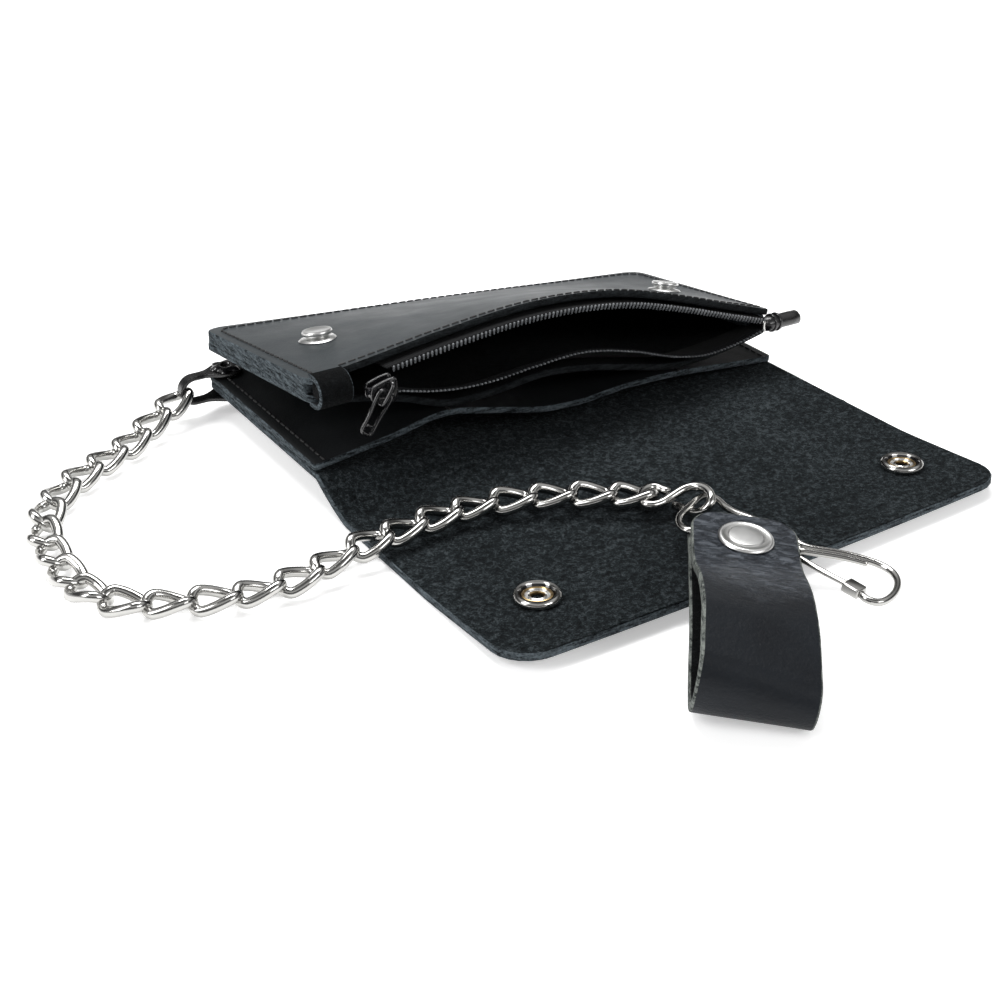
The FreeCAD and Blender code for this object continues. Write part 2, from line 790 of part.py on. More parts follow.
def clip():
    """Wire snap clip: a bail through the belt loop's fold, a waist, a hook and a sprung gate."""
    frame_line = [
        (10.2, 15.0, 4.15),
        (6.2, 11.0, 4.15),
        (6.2, -16.8, 4.0),
        (-4.6, -17.2, 2.4),
        (-15.5, -11.8, 1.2),
        (-19.5, -8.0, 0.8),
        (-12.5, -3.2, 1.6),
        (-4.8, 4.8, 3.4),
        (0.5, 13.5, 4.15),
        (6.8, 17.0, 4.15),
        (9.5, 30, 4.1),
        (12.5, 40.5, 4.1),
        (21, 41.5, 4.1),
        (29.8, 35, 4.1),
        (27.0, 30.2, 4.1),
    ]
    gate_line = [(12.4, 16.2, 4.1), (18, 21, 4.1), (22.6, 26.3, 4.1), (23.9, 27.8, 4.1)]
    radius = dim("clip_wire") / 2
    frame_path = rounded_path([strap_point(*p) for p in frame_line], 400)
    feature("clip_frame", swept(frame_path, radius))
    gate_path = rounded_path([strap_point(*p) for p in gate_line], 400)
    feature("clip_gate", swept(gate_path, radius * 0.9))


clip()

# ---------------------------------------------------------------- check and export

doc.recompute()
for obj in doc.Objects:
    if "Invalid" in obj.State or "Error" in obj.State:
        raise RuntimeError(f"{obj.Label} failed: {obj.State}")

os.makedirs("parts", exist_ok=True)
for obj in SUBPARTS:
    shape = obj.Shape
    if shape.isNull() or not shape.isValid() or not shape.Solids:
        raise RuntimeError(f"{obj.Label} has no valid solid")
    for solid in shape.Solids:
        if solid.Volume <= 0:
            raise RuntimeError(f"{obj.Label} is inside out")
    shape.exportStep(f"parts/{obj.Label}.step")
print(len(SUBPARTS), "sub-parts written")
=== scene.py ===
import math

import bmesh
import bpy
import numpy as np
from mathutils import Matrix, Vector


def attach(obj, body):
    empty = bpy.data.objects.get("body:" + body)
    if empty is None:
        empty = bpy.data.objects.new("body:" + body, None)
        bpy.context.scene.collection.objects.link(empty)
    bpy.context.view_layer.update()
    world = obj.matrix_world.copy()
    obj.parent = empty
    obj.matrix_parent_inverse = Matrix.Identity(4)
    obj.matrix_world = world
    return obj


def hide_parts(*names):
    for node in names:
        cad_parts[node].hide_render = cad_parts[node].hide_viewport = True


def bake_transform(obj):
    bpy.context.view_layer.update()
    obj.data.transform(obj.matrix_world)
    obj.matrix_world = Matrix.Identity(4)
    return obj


# A long leather chain wallet lying open. Sizes are millimetres in wallet
# coordinates: x from the wallet's left end, y from the cover's fold towards the back, z up.

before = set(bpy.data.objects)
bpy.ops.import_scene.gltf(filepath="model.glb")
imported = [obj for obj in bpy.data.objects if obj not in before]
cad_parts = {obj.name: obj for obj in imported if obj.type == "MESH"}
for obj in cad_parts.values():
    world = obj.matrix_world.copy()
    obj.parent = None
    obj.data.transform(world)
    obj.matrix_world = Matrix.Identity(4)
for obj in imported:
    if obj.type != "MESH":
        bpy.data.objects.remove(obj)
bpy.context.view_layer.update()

ORIGIN_X = 88.6
ORIGIN_Y = -14.266
LENGTH = 180.0
DEPTH = 77.0
LEATHER = 2.2
MM = 0.001


def place(x, y, z):
    """Wallet coordinates in millimetres to the frame's metres."""
    return Vector(((x - ORIGIN_X) * MM, (y - ORIGIN_Y) * MM, z * MM))


def placed(points):
    """Rows of wallet coordinates to the frame's metres."""
    moved = np.array(points, float)
    moved[..., 0] -= ORIGIN_X
    moved[..., 1] -= ORIGIN_Y
    return moved * MM


def scene_object(name, data):
    obj = bpy.data.objects.new(name, data)
    bpy.context.collection.objects.link(obj)
    return obj


def discard(obj):
    """Remove a working object and its mesh or curve."""
    data = obj.data
    bpy.data.objects.remove(obj)
    (bpy.data.curves if isinstance(data, bpy.types.Curve) else bpy.data.meshes).remove(data)


# ---------------------------------------------------------------- camera

AZIMUTH = math.radians(-34.33)
ELEVATION = math.radians(29.79)
ROLL = math.radians(1.114)
CAMERA_AT = (-0.2550, -0.3251, 0.2161)
LENS_MM = 52.77
FILM_MM = 36


def set_camera():
    """A camera low in front of the wallet's left end."""
    back = Vector((
        math.sin(AZIMUTH) * math.cos(ELEVATION),
        -math.cos(AZIMUTH) * math.cos(ELEVATION),
        math.sin(ELEVATION),
    ))
    right = (-back).cross(Vector((0, 0, 1))).normalized()
    up = right.cross(-back)
    turned_right = right * math.cos(ROLL) + up * math.sin(ROLL)
    turned_up = up * math.cos(ROLL) - right * math.sin(ROLL)
    data = bpy.data.cameras.new("camera")
    data.lens = LENS_MM
    data.sensor_width = FILM_MM
    camera = scene_object("camera", data)
    axes = Matrix((turned_right, turned_up, back)).transposed().to_4x4()
    camera.matrix_world = Matrix.Translation(CAMERA_AT) @ axes
    bpy.context.scene.camera = camera


set_camera()

# ---------------------------------------------------------------- materials


class Finish:
    """A material's node tree with short calls for the nodes used here."""

    def __init__(self, name):
        self.material = bpy.data.materials.new(name)
        self.material.use_nodes = True
        self.tree = self.material.node_tree
        self.tree.nodes.clear()
        self.shader = self.add("ShaderNodeBsdfPrincipled")
        output = self.add("ShaderNodeOutputMaterial")
        self.join(self.shader.outputs["BSDF"], output.inputs["Surface"])
        self.place = self.add("ShaderNodeTexCoord").outputs["Object"]

    def add(self, kind, **values):
        node = self.tree.nodes.new(kind)
        for key, value in values.items():
            setattr(node, key, value)
        return node

    def join(self, source, target):
        self.tree.links.new(source, target)

    def set(self, **values):
        for key, value in values.items():
            self.shader.inputs[key.replace("_", " ")].default_value = value

    def stretched(self, scale):
        node = self.add("ShaderNodeMapping")
        node.inputs["Scale"].default_value = scale
        self.join(self.place, node.inputs["Vector"])
        return node.outputs["Vector"]

    def noise(self, scale, detail=3.0, rough=0.55, place=None, distortion=0.0):
        node = self.add("ShaderNodeTexNoise")
        node.inputs["Scale"].default_value = scale
        node.inputs["Detail"].default_value = detail
        node.inputs["Roughness"].default_value = rough
        node.inputs["Distortion"].default_value = distortion
        self.join(place or self.place, node.inputs["Vector"])
        return node.outputs["Fac"]

    def cells(self, scale):
        node = self.add("ShaderNodeTexVoronoi", feature="F1")
        node.inputs["Scale"].default_value = scale
        self.join(self.place, node.inputs["Vector"])
        return node.outputs["Distance"]

    def range(self, source, low, high, to_low, to_high):
        node = self.add("ShaderNodeMapRange")
        limits = {"From Min": low, "From Max": high, "To Min": to_low, "To Max": to_high}
        for key, value in limits.items():
            node.inputs[key].default_value = value
        self.join(source, node.inputs["Value"])
        return node.outputs["Result"]

    def ramp(self, source, stops):
        node = self.add("ShaderNodeValToRGB")
        for _ in range(len(stops) - 2):
            node.color_ramp.elements.new(0.5)
        for element, (at, colour) in zip(node.color_ramp.elements, stops):
            element.position = at
            element.color = (*colour, 1)
        self.join(source, node.inputs["Fac"])
        return node.outputs["Color"]

    def blend(self, share, first, second):
        node = self.add("ShaderNodeMix", data_type="RGBA", blend_type="MIX")
        for source, slot in ((share, 0), (first, 6), (second, 7)):
            self.join(source, node.inputs[slot])
        return node.outputs[2]

    def sum(self, first, second, operation="ADD"):
        node = self.add("ShaderNodeMath", operation=operation)
        for source, slot in ((first, 0), (second, 1)):
            if isinstance(source, (int, float)):
                node.inputs[slot].default_value = source
            else:
                self.join(source, node.inputs[slot])
        return node.outputs[0]

    def times(self, first, second):
        return self.sum(first, second, "MULTIPLY")

    def bump(self, height, strength, distance):
        node = self.add("ShaderNodeBump")
        node.inputs["Strength"].default_value = strength
        node.inputs["Distance"].default_value = distance
        self.join(height, node.inputs["Height"])
        self.join(node.outputs["Normal"], self.shader.inputs["Normal"])

    def colour(self, source):
        self.join(source, self.shader.inputs["Base Color"])

    def roughness(self, source):
        self.join(source, self.shader.inputs["Roughness"])


def grain_leather(name, dark, light, rough=(0.42, 0.6), gloss=0.4):
    finish = Finish(name)
    broad = finish.noise(28, 4, 0.6)
    finish.colour(finish.ramp(broad, [(0.3, dark), (0.7, light)]))
    finish.roughness(finish.range(finish.noise(60, 4, 0.6), 0.3, 0.7, *rough))
    pores = finish.cells(1500)
    fine = finish.noise(700, 3, 0.6)
    finish.bump(finish.sum(finish.times(pores, 0.5), fine), 0.16, 0.0004)
    finish.set(Specular_IOR_Level=gloss)
    return finish.material


def suede(name, dark, middle, light):
    finish = Finish(name)
    clumps = finish.noise(620, 5, 0.7, distortion=0.6)
    broad = finish.noise(24, 3, 0.6)
    fibres = finish.noise(2100, 3, 0.7)
    mixed = finish.sum(finish.times(clumps, 0.6), finish.times(fibres, 0.4))
    shifted = finish.sum(mixed, finish.times(finish.sum(broad, -0.5), 0.12))
    finish.colour(finish.ramp(shifted, [(0.38, dark), (0.5, middle), (0.62, light)]))
    finish.bump(mixed, 1.0, 0.0018)
    finish.set(Roughness=0.95, Specular_IOR_Level=0.06, Sheen_Weight=0.015, Sheen_Roughness=0.6)
    return finish.material


def raw_edge(name, dark, light):
    finish = Finish(name)
    layered = finish.noise(1, 4, 0.65, finish.stretched((180, 180, 1500)))
    fine = finish.noise(1400, 4, 0.7)
    mixed = finish.sum(finish.times(layered, 0.6), finish.times(fine, 0.4))
    finish.colour(finish.ramp(mixed, [(0.40, dark), (0.60, light)]))
    finish.bump(mixed, 0.8, 0.0008)
    finish.set(Roughness=0.9, Specular_IOR_Level=0.1)
    return finish.material


def metal(name, colour, rough, metallic=1.0, coat=0.0, wear=0.06):
    finish = Finish(name)
    finish.roughness(finish.range(finish.noise(240, 4, 0.6), 0.3, 0.7, rough, rough + wear))
    finish.bump(finish.noise(420, 3, 0.6), 0.05, 0.0003)
    finish.set(Base_Color=(*colour, 1), Metallic=metallic, Coat_Weight=coat, Coat_Roughness=0.08)
    return finish.material


def woven(name, colour, light):
    finish = Finish(name)
    ribs = finish.add("ShaderNodeTexWave", bands_direction="X")
    ribs.inputs["Scale"].default_value = 420
    finish.join(finish.place, ribs.inputs["Vector"])
    fine = finish.noise(1600, 3, 0.6)
    mixed = finish.sum(finish.times(ribs.outputs["Fac"], 0.5), finish.times(fine, 0.5))
    finish.colour(finish.ramp(mixed, [(0.3, colour), (0.8, light)]))
    finish.bump(mixed, 0.5, 0.0005)
    finish.set(Roughness=0.9, Specular_IOR_Level=0.12, Sheen_Weight=0.02, Sheen_Roughness=0.5)
    return finish.material


def plain(name, colour, rough, specular=0.5, bump=0.1, scale=900):
    finish = Finish(name)
    tone = finish.noise(scale / 6, 3, 0.6)
    lighter = tuple(min(1, c * 1.5 + 0.004) for c in colour)
    finish.colour(finish.ramp(tone, [(0.35, colour), (0.75, lighter)]))
    finish.roughness(finish.range(finish.noise(scale / 3, 3, 0.6), 0.3, 0.7, rough, rough + 0.12))
    finish.bump(finish.noise(scale, 3, 0.6), bump, 0.0003)
    finish.set(Specular_IOR_Level=specular)
    return finish.material


POUCH_GRAIN = grain_leather("pouch_grain", (0.013, 0.018, 0.021), (0.024, 0.031, 0.035), (0.40, 0.54), 0.5)
# A much darker copy of the grain leather for faces inside the compartments and between layers: painted shade.
SHADED_GRAIN = grain_leather("shaded_inner_grain", (0.003, 0.0035, 0.004), (0.007, 0.008, 0.009), (0.5, 0.65), 0.22)
COVER_GRAIN = grain_leather("cover_grain", (0.012, 0.014, 0.016), (0.021, 0.024, 0.026))
FLAP_TONES = [(0.001, 0.0015, 0.002), (0.0105, 0.0145, 0.0165), (0.055, 0.066, 0.072)]
FLAP_SUEDE = suede("flap_suede", *FLAP_TONES)
# A much darker copy of the flap suede for inner and under faces: painted shade.
SHADED_SUEDE = suede("shaded_suede", (0.001, 0.0012, 0.0015), (0.003, 0.0035, 0.004), (0.008, 0.009, 0.010))
DARK_EDGE = raw_edge("dark_edge", (0.002, 0.003, 0.004), (0.095, 0.115, 0.128))
# A near-black edge finish for the pouch's mouth: painted shade where those edges sit in shadow.
SHADED_EDGE = raw_edge("shaded_mouth_edge", (0.002, 0.0025, 0.003), (0.018, 0.021, 0.023))
THREAD = plain("black_thread", (0.003, 0.003, 0.0035), 0.5, 0.5, 0.3, 2400)
NICKEL = metal("bright_nickel", (0.46, 0.455, 0.44), 0.12)
WORN_NICKEL = metal("cap_nickel", (0.66, 0.66, 0.65), 0.3)
BRASS = metal("brass_tint", (0.42, 0.30, 0.15), 0.25)
GUNMETAL = metal("black_plate", (0.006, 0.006, 0.007), 0.13, 0.0, 0.6, 0.05)
TAPE = woven("zip_tape_weave", (0.003, 0.003, 0.0035), (0.012, 0.013, 0.014))
# The zip coil is black nylon; its grey base colour is a painted highlight standing in for the coil's glints.
COIL_PAINTED_GLINT = plain("coil_nylon_painted_glint", (0.12, 0.127, 0.135), 0.2, 0.8, 0.05)
VINYL = plain("glossy_tab_leather", (0.005, 0.005, 0.0055), 0.2, 0.6, 0.12, 1200)

# ---------------------------------------------------------------- mesh helpers


def new_object(name, verts, faces, materials, indices=None, sharp=None):
    """A smooth-shaded closed mesh object at the origin with faces turned outward."""
    mesh = bpy.data.meshes.new(name)
    mesh.from_pydata([tuple(v) for v in verts], [], [tuple(f) for f in faces])
    for material in materials:
        mesh.materials.append(material)
    if indices is not None:
        mesh.polygons.foreach_set("material_index", indices)
    mesh.polygons.foreach_set("use_smooth", [True] * len(mesh.polygons))
    mesh.update()
    worked = bmesh.new()
    worked.from_mesh(mesh)
    bmesh.ops.recalc_face_normals(worked, faces=worked.faces)
    worked.to_mesh(mesh)
    worked.free()
    if sharp is not None:
        mesh.set_sharp_from_angle(angle=math.radians(sharp))
    return scene_object(name, mesh)


def from_bmesh(name, worked, materials, sharp=None):
    """A smooth-shaded object from a bmesh, which is freed."""
    mesh = bpy.data.meshes.new(name)
    worked.to_mesh(mesh)
    worked.free()
    for material in materials:
        mesh.materials.append(material)
    mesh.polygons.foreach_set("use_smooth", [True] * len(mesh.polygons))
    if sharp is not None:
        mesh.set_sharp_from_angle(angle=math.radians(sharp))
    return scene_object(name, mesh)


def joined(name, objects):
    """Several meshes as one object that keeps each face's material."""
    materials = []
    verts = []
    faces = []
    indices = []
    sharp_pairs = set()
    for obj in objects:
        mesh = obj.data
        base = len(verts)
        for material in mesh.materials:
            if material not in materials:
                materials.append(material)
        verts += [tuple(obj.matrix_world @ v.co) for v in mesh.vertices]
        for face in mesh.polygons:
            faces.append([base + i for i in face.vertices])
            indices.append(materials.index(mesh.materials[face.material_index]))
        for edge in mesh.edges:
            if edge.use_edge_sharp:
                sharp_pairs.add(frozenset(base + i for i in edge.vertices))
        discard(obj)
    mesh = bpy.data.meshes.new(name)
    mesh.from_pydata(verts, [], faces)
    for material in materials:
        mesh.materials.append(material)
    mesh.polygons.foreach_set("material_index", indices)
    mesh.polygons.foreach_set("use_smooth", [True] * len(mesh.polygons))
    mesh.update()
    for edge in mesh.edges:
        if frozenset(edge.vertices) in sharp_pairs:
            edge.use_edge_sharp = True
    return scene_object(name, mesh)


def curve(points):
    """A smooth height along x through (x, height) points."""
    xs, zs = np.array(points, float).T
    slopes = np.gradient(zs, xs)

    def height(x):
        x = np.clip(x, xs[0], xs[-1])
        i = np.clip(np.searchsorted(xs, x) - 1, 0, len(xs) - 2)
        run = xs[i + 1] - xs[i]
        t = (x - xs[i]) / run
        rise = (2 * t**3 - 3 * t**2 + 1) * zs[i] + (3 * t**2 - 2 * t**3) * zs[i + 1]
        return rise + run * ((t**3 - 2 * t**2 + t) * slopes[i] + (t**3 - t**2) * slopes[i + 1])

    return height


def unit(vectors):
    return vectors / np.maximum(np.linalg.norm(vectors, axis=-1, keepdims=True), 1e-12)


def grid_normals(grid, flip=False):
    along = np.gradient(grid, axis=1)
    down = np.gradient(grid, axis=0)
    normals = unit(np.cross(along, down))
    return -normals if flip else normals


def leather(name, grid, thickness, materials, flip=False, rim=0.4, plain_rows=()):
    """A leather sheet above a grid of its lower face, with softened cut edges.
    plain_rows names the first (0) or last (-1) row where another piece carries on."""
    rows, columns, _ = grid.shape
    normals = grid_normals(grid, flip)
    thick = np.broadcast_to(np.asarray(thickness, float), (rows, columns))[..., None]
    loop = [(0, c) for c in range(columns)]
    loop += [(r, columns - 1) for r in range(1, rows)]
    loop += [(rows - 1, c) for c in range(columns - 2, -1, -1)]
    loop += [(r, 0) for r in range(rows - 2, 0, -1)]
    row_of = np.array([r for r, _ in loop])
    column_of = np.array([c for _, c in loop])
    border = grid[row_of, column_of]
    tangent = np.roll(border, -1, axis=0) - np.roll(border, 1, axis=0)
    outward = unit(np.cross(tangent, normals[row_of, column_of]))
    if np.sum(outward * (border - border.mean(axis=0))) < 0:
        outward = -outward
    inset = np.full(len(loop), rim)
    for row in plain_rows:
        inset[row_of == (row % rows)] = 0.0
    inset = inset[:, None]
    lower = grid.copy()
    upper = grid + normals * thick
    lower[row_of, column_of] -= outward * inset
    upper[row_of, column_of] -= outward * inset
    edge_normal = normals[row_of, column_of]
    edge_thick = thick[row_of, column_of]
    corner = np.minimum(rim, edge_thick * 0.3)
    rings = [
        border - outward * inset * 0.29 + edge_normal * (edge_thick - corner * 0.29),
        border + edge_normal * (edge_thick - corner),
        border + edge_normal * corner,
        border - outward * inset * 0.29 + edge_normal * corner * 0.29,
    ]
    flat = rows * columns
    verts = np.concatenate([upper.reshape(-1, 3), lower.reshape(-1, 3)] + rings)
    faces = []
    indices = []
    for r in range(rows - 1):
        for c in range(columns - 1):
            a = r * columns + c
            faces.append((a, a + 1, a + columns + 1, a + columns))
            faces.append((flat + a, flat + a + columns, flat + a + columns + 1, flat + a + 1))
            indices += [0, 1]
    ids = [[r * columns + c for r, c in loop]]
    ids += [[2 * flat + k * len(loop) + i for i in range(len(loop))] for k in range(4)]
    ids.append([flat + r * columns + c for r, c in loop])
    for high, low in zip(ids, ids[1:]):
        for i in range(len(loop)):
            j = (i + 1) % len(loop)
            faces.append((high[i], high[j], low[j], low[i]))
            indices.append(2)
    obj = new_object(name, placed(verts), faces, materials, indices)
    if plain_rows:
        on_seam = set()
        for row in plain_rows:
            r = row % rows
            on_seam |= {r * columns + c for c in range(columns)}
            on_seam |= {flat + r * columns + c for c in range(columns)}
        for edge in obj.data.edges:
            if edge.vertices[0] in on_seam and edge.vertices[1] in on_seam:
                edge.use_edge_sharp = True
    return obj


def outline_grid(x0, x1, y_back, y_front, low, back_corner=0.0, front_corner=0.0, columns=110, step=1.6):
    """Lower-face grid from the back edge to the front edge, with round corners."""
    turns = np.linspace(0, math.pi / 2, 7)
    depths = []
    insets = []
    if back_corner:
        depths += list(y_back - back_corner * (1 - np.cos(turns[:-1])))
        insets += list(back_corner * (1 - np.sin(turns[:-1])))
    start = y_back - back_corner
    finish = y_front + front_corner
    middle = np.linspace(start, finish, max(2, int(abs(start - finish) / step) + 1))
    depths += list(middle)
    insets += [0.0] * len(middle)
    if front_corner:
        depths += list(y_front + front_corner * (1 - np.cos(turns[:-1][::-1])))
        insets += list(front_corner * (1 - np.sin(turns[:-1][::-1])))
    share = np.linspace(0, 1, columns)
    depths = np.array(depths)[:, None]
    insets = np.array(insets)[:, None]
    x = x0 + insets + (x1 - x0 - 2 * insets) * share[None, :]
    y = np.broadcast_to(depths, x.shape)
    return np.stack([x, y, low(x, y)], axis=-1)


def cut_line(points, rounds=4, closed=False):
    """A smooth line inside the corners of a few points."""
    line = np.array(points, float)
    for _ in range(rounds):
        following = np.roll(line, -1, axis=0) if closed else line[1:]
        here = line if closed else line[:-1]
        pairs = np.stack([here * 0.75 + following * 0.25, here * 0.25 + following * 0.75], axis=1)
        inner = pairs.reshape(-1, 3)
        line = inner if closed else np.concatenate([line[:1], inner[1:-1], line[-1:]])
    return line


def sweep(name, line, radius, material, closed=False, sides=14, in_metres=False, flat=1.0):
    """A round or flattened wire along a line, with softly cut ends."""
    line = np.array(line, float) if in_metres else placed(line)
    size = radius * MM
    count = len(line)
    if closed:
        tangents = unit(np.roll(line, -1, axis=0) - np.roll(line, 1, axis=0))
    else:
        tangents = unit(np.gradient(line, axis=0))
    side = np.cross(tangents[0], (0.0, 0.0, 1.0))
    if np.linalg.norm(side) < 0.1:
        side = np.cross(tangents[0], (0.0, 1.0, 0.0))
    sides_at = []
    for tangent in tangents:
        side = side - tangent * np.dot(side, tangent)
        side = side / np.linalg.norm(side)
        sides_at.append(side)
    sides_at = np.array(sides_at)
    ups = np.cross(sides_at, tangents)
    if closed:
        drift = math.atan2(np.dot(sides_at[0], ups[-1]), np.dot(sides_at[0], sides_at[-1]))
        angles = drift * np.arange(count) / count
        sides_at = sides_at * np.cos(angles)[:, None] + ups * np.sin(angles)[:, None]
        ups = np.cross(sides_at, tangents)
    stations = [(i, 1.0, 0.0) for i in range(count)]
    if not closed:
        first = [(0, 0.7, 0.0), (0, 1.0, 0.3)]
        last = [(count - 1, 1.0, -0.3), (count - 1, 0.7, 0.0)]
        stations = first + stations[2:-2] + last
    verts = []
    for i, scale, shift in stations:
        centre = line[i] + tangents[i] * shift * size
        for k in range(sides):
            angle = 2 * math.pi * k / sides
            around = sides_at[i] * math.cos(angle) + ups[i] * math.sin(angle) * flat
            verts.append(centre + size * scale * around)
    rings = len(stations)
    faces = []
    for i in range(rings if closed else rings - 1):
        a, b = i * sides, ((i + 1) % rings) * sides
        for k in range(sides):
            faces.append((a + k, a + (k + 1) % sides, b + (k + 1) % sides, b + k))
    if not closed:
        faces.append(tuple(range(sides)))
        faces.append(tuple((rings - 1) * sides + k for k in range(sides)))
    return new_object(name, verts, faces, [material], sharp=50)


def turned(name, profile, centre, normal, materials, segments=56, indices=None, ring=False, spin=None):
    """A lathe-turned part: a (radius, height) profile from bottom to top round an axis.
    ring joins the profile's ends; spin changes a point's radius by its angle and radius."""
    axis = Vector(normal).normalized()
    turn = Vector((0, 0, 1)).rotation_difference(axis).to_matrix()
    verts = []
    rows = []
    for radius, height in profile:
        row = []
        if radius < 1e-6:
            verts.append(centre + turn @ Vector((0, 0, height * MM)))
            row = [len(verts) - 1] * segments
        else:
            for k in range(segments):
                angle = 2 * math.pi * k / segments
                r = spin(angle, radius) if spin else radius
                spot = (r * MM * math.cos(angle), r * MM * math.sin(angle), height * MM)
                verts.append(centre + turn @ Vector(spot))
                row.append(len(verts) - 1)
        rows.append(row)
    faces = []
    picked = []
    pairs = list(zip(rows, rows[1:]))
    if ring:
        pairs.append((rows[-1], rows[0]))
    for number, (low, high) in enumerate(pairs):
        for k in range(segments):
            m = (k + 1) % segments
            corners = [low[k], low[m], high[m], high[k]]
            face = [c for n, c in enumerate(corners) if c not in corners[:n]]
            if len(face) > 2:
                faces.append(face)
                picked.append(indices[number] if indices else 0)
    return new_object(name, verts, faces, materials, picked, sharp=38)


def soft_box(name, centre, size, materials, bevel, turn=None):
    """A box with rounded edges, in the frame's metres, turned about its centre."""
    worked = bmesh.new()
    bmesh.ops.create_cube(worked, size=1.0)
    bmesh.ops.scale(worked, vec=size, verts=worked.verts)
    bmesh.ops.bevel(worked, geom=list(worked.edges), offset=bevel, segments=4, affect="EDGES", profile=0.5)
    bmesh.ops.transform(worked, matrix=(turn or Matrix.Identity(3)).to_4x4(), verts=worked.verts)
    bmesh.ops.translate(worked, vec=centre, verts=worked.verts)
    return from_bmesh(name, worked, materials)


def finished(obj, body, slot, *nodes):
    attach(obj, body)
    if nodes:
        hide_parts(*nodes)
    return obj


# ---------------------------------------------------------------- repeats along a line


def repeat_group(mode):
    """Node group that sets copies of a piece along lines, leaning by turns and at random."""
    group = bpy.data.node_groups.new("repeat_" + mode.lower(), "GeometryNodeTree")
    sockets = {
        "Line": "Geometry", "Piece": "Object", "Count": "Int", "Spacing": "Float",
        "Lean": "Float", "Jitter": "Float", "Seed": "Int", "Finish": "Material",
    }
    for label, kind in sockets.items():
        group.interface.new_socket(label, in_out="INPUT", socket_type="NodeSocket" + kind)
    group.interface.new_socket("Mesh", in_out="OUTPUT", socket_type="NodeSocketGeometry")

    def add(kind, values=None, **settings):
        node = group.nodes.new(kind)
        for key, value in settings.items():
            setattr(node, key, value)
        for socket, value in (values or {}).items():
            node.inputs[socket].default_value = value
        return node

    def link(source, output, target, socket):
        group.links.new(source.outputs[output], target.inputs[socket])

    given = add("NodeGroupInput")
    line = add("GeometryNodeMeshToCurve")
    resample = add("GeometryNodeResampleCurve", mode=mode)
    tangent = add("GeometryNodeInputTangent")
    up = add("GeometryNodeInputNamedAttribute", {"Name": "up"}, data_type="FLOAT_VECTOR")
    aim = add("FunctionNodeAlignRotationToVector", axis="X")
    stand = add("FunctionNodeAlignRotationToVector", axis="Z", pivot_axis="X")
    index = add("GeometryNodeInputIndex")
    odd = add("ShaderNodeMath", {1: 2}, operation="MODULO")
    sign = add("ShaderNodeMath", {1: 2, 2: -1}, operation="MULTIPLY_ADD")
    by_turns = add("ShaderNodeMath", operation="MULTIPLY")
    chance = add("FunctionNodeRandomValue", {2: -1, 3: 1}, data_type="FLOAT")
    spread = add("ShaderNodeMath", operation="MULTIPLY_ADD")
    angle = add("FunctionNodeAxisAngleToRotation", {"Axis": (1, 0, 0)})
    rotate = add("FunctionNodeRotateRotation", rotation_space="LOCAL")
    piece = add("GeometryNodeObjectInfo")
    copies = add("GeometryNodeInstanceOnPoints")
    real = add("GeometryNodeRealizeInstances")
    paint = add("GeometryNodeSetMaterial")
    result = add("NodeGroupOutput")
    link(given, "Line", line, "Mesh")
    link(line, "Curve", resample, "Curve")
    if mode == "COUNT":
        link(given, "Count", resample, "Count")
    else:
        link(given, "Spacing", resample, "Length")
    link(tangent, "Tangent", aim, "Vector")
    link(aim, "Rotation", stand, "Rotation")
    link(up, "Attribute", stand, "Vector")
    link(index, "Index", odd, 0)
    link(odd, 0, sign, 0)
    link(sign, 0, by_turns, 0)
    link(given, "Lean", by_turns, 1)
    link(given, "Seed", chance, "Seed")
    link(chance, 1, spread, 0)
    link(given, "Jitter", spread, 1)
    link(by_turns, 0, spread, 2)
    link(spread, 0, angle, "Angle")
    link(stand, "Rotation", rotate, "Rotation")
    link(angle, "Rotation", rotate, "Rotate By")
    link(given, "Piece", piece, "Object")
    link(resample, "Curve", copies, "Points")
    link(piece, "Geometry", copies, "Instance")
    link(rotate, "Rotation", copies, "Rotation")
    link(copies, "Instances", real, "Geometry")
    link(real, "Geometry", paint, "Geometry")
    link(given, "Finish", paint, "Material")
    link(paint, "Geometry", result, "Mesh")
    return group


REPEAT_BY_COUNT = repeat_group("COUNT")
REPEAT_BY_LENGTH = repeat_group("LENGTH")


def repeated(name, lines, ups, piece, finish, group, **settings):
    """Copies of piece along each line of frame points, as one plain mesh object."""
    verts = []
    edges = []
    for line in lines:
        base = len(verts)
        verts += [tuple(p) for p in line]
        edges += [(base + i, base + i + 1) for i in range(len(line) - 1)]
    mesh = bpy.data.meshes.new(name + "_line")
    mesh.from_pydata(verts, edges, [])
    attribute = mesh.attributes.new("up", "FLOAT_VECTOR", "POINT")
    attribute.data.foreach_set("vector", np.array([tuple(u) for row in ups for u in row], float).ravel())
    host = scene_object(name + "_line", mesh)
    modifier = host.modifiers.new("repeat", "NODES")
    modifier.node_group = group
    values = {"Piece": piece, "Finish": finish, "Count": 2, "Spacing": 1.0}
    values |= {"Lean": 0.0, "Jitter": 0.0, "Seed": 7}
    values |= settings
    for item in group.interface.items_tree:
        if item.in_out == "INPUT" and item.name in values:
            modifier[item.identifier] = values[item.name]
    graph = bpy.context.evaluated_depsgraph_get()
    made = bpy.data.meshes.new_from_object(host.evaluated_get(graph), depsgraph=graph)
    made.name = name
    if not made.materials:
        made.materials.append(finish)
    if "up" in made.attributes:
        made.attributes.remove(made.attributes["up"])
    discard(host)
    discard(piece)
    return scene_object(name, made)


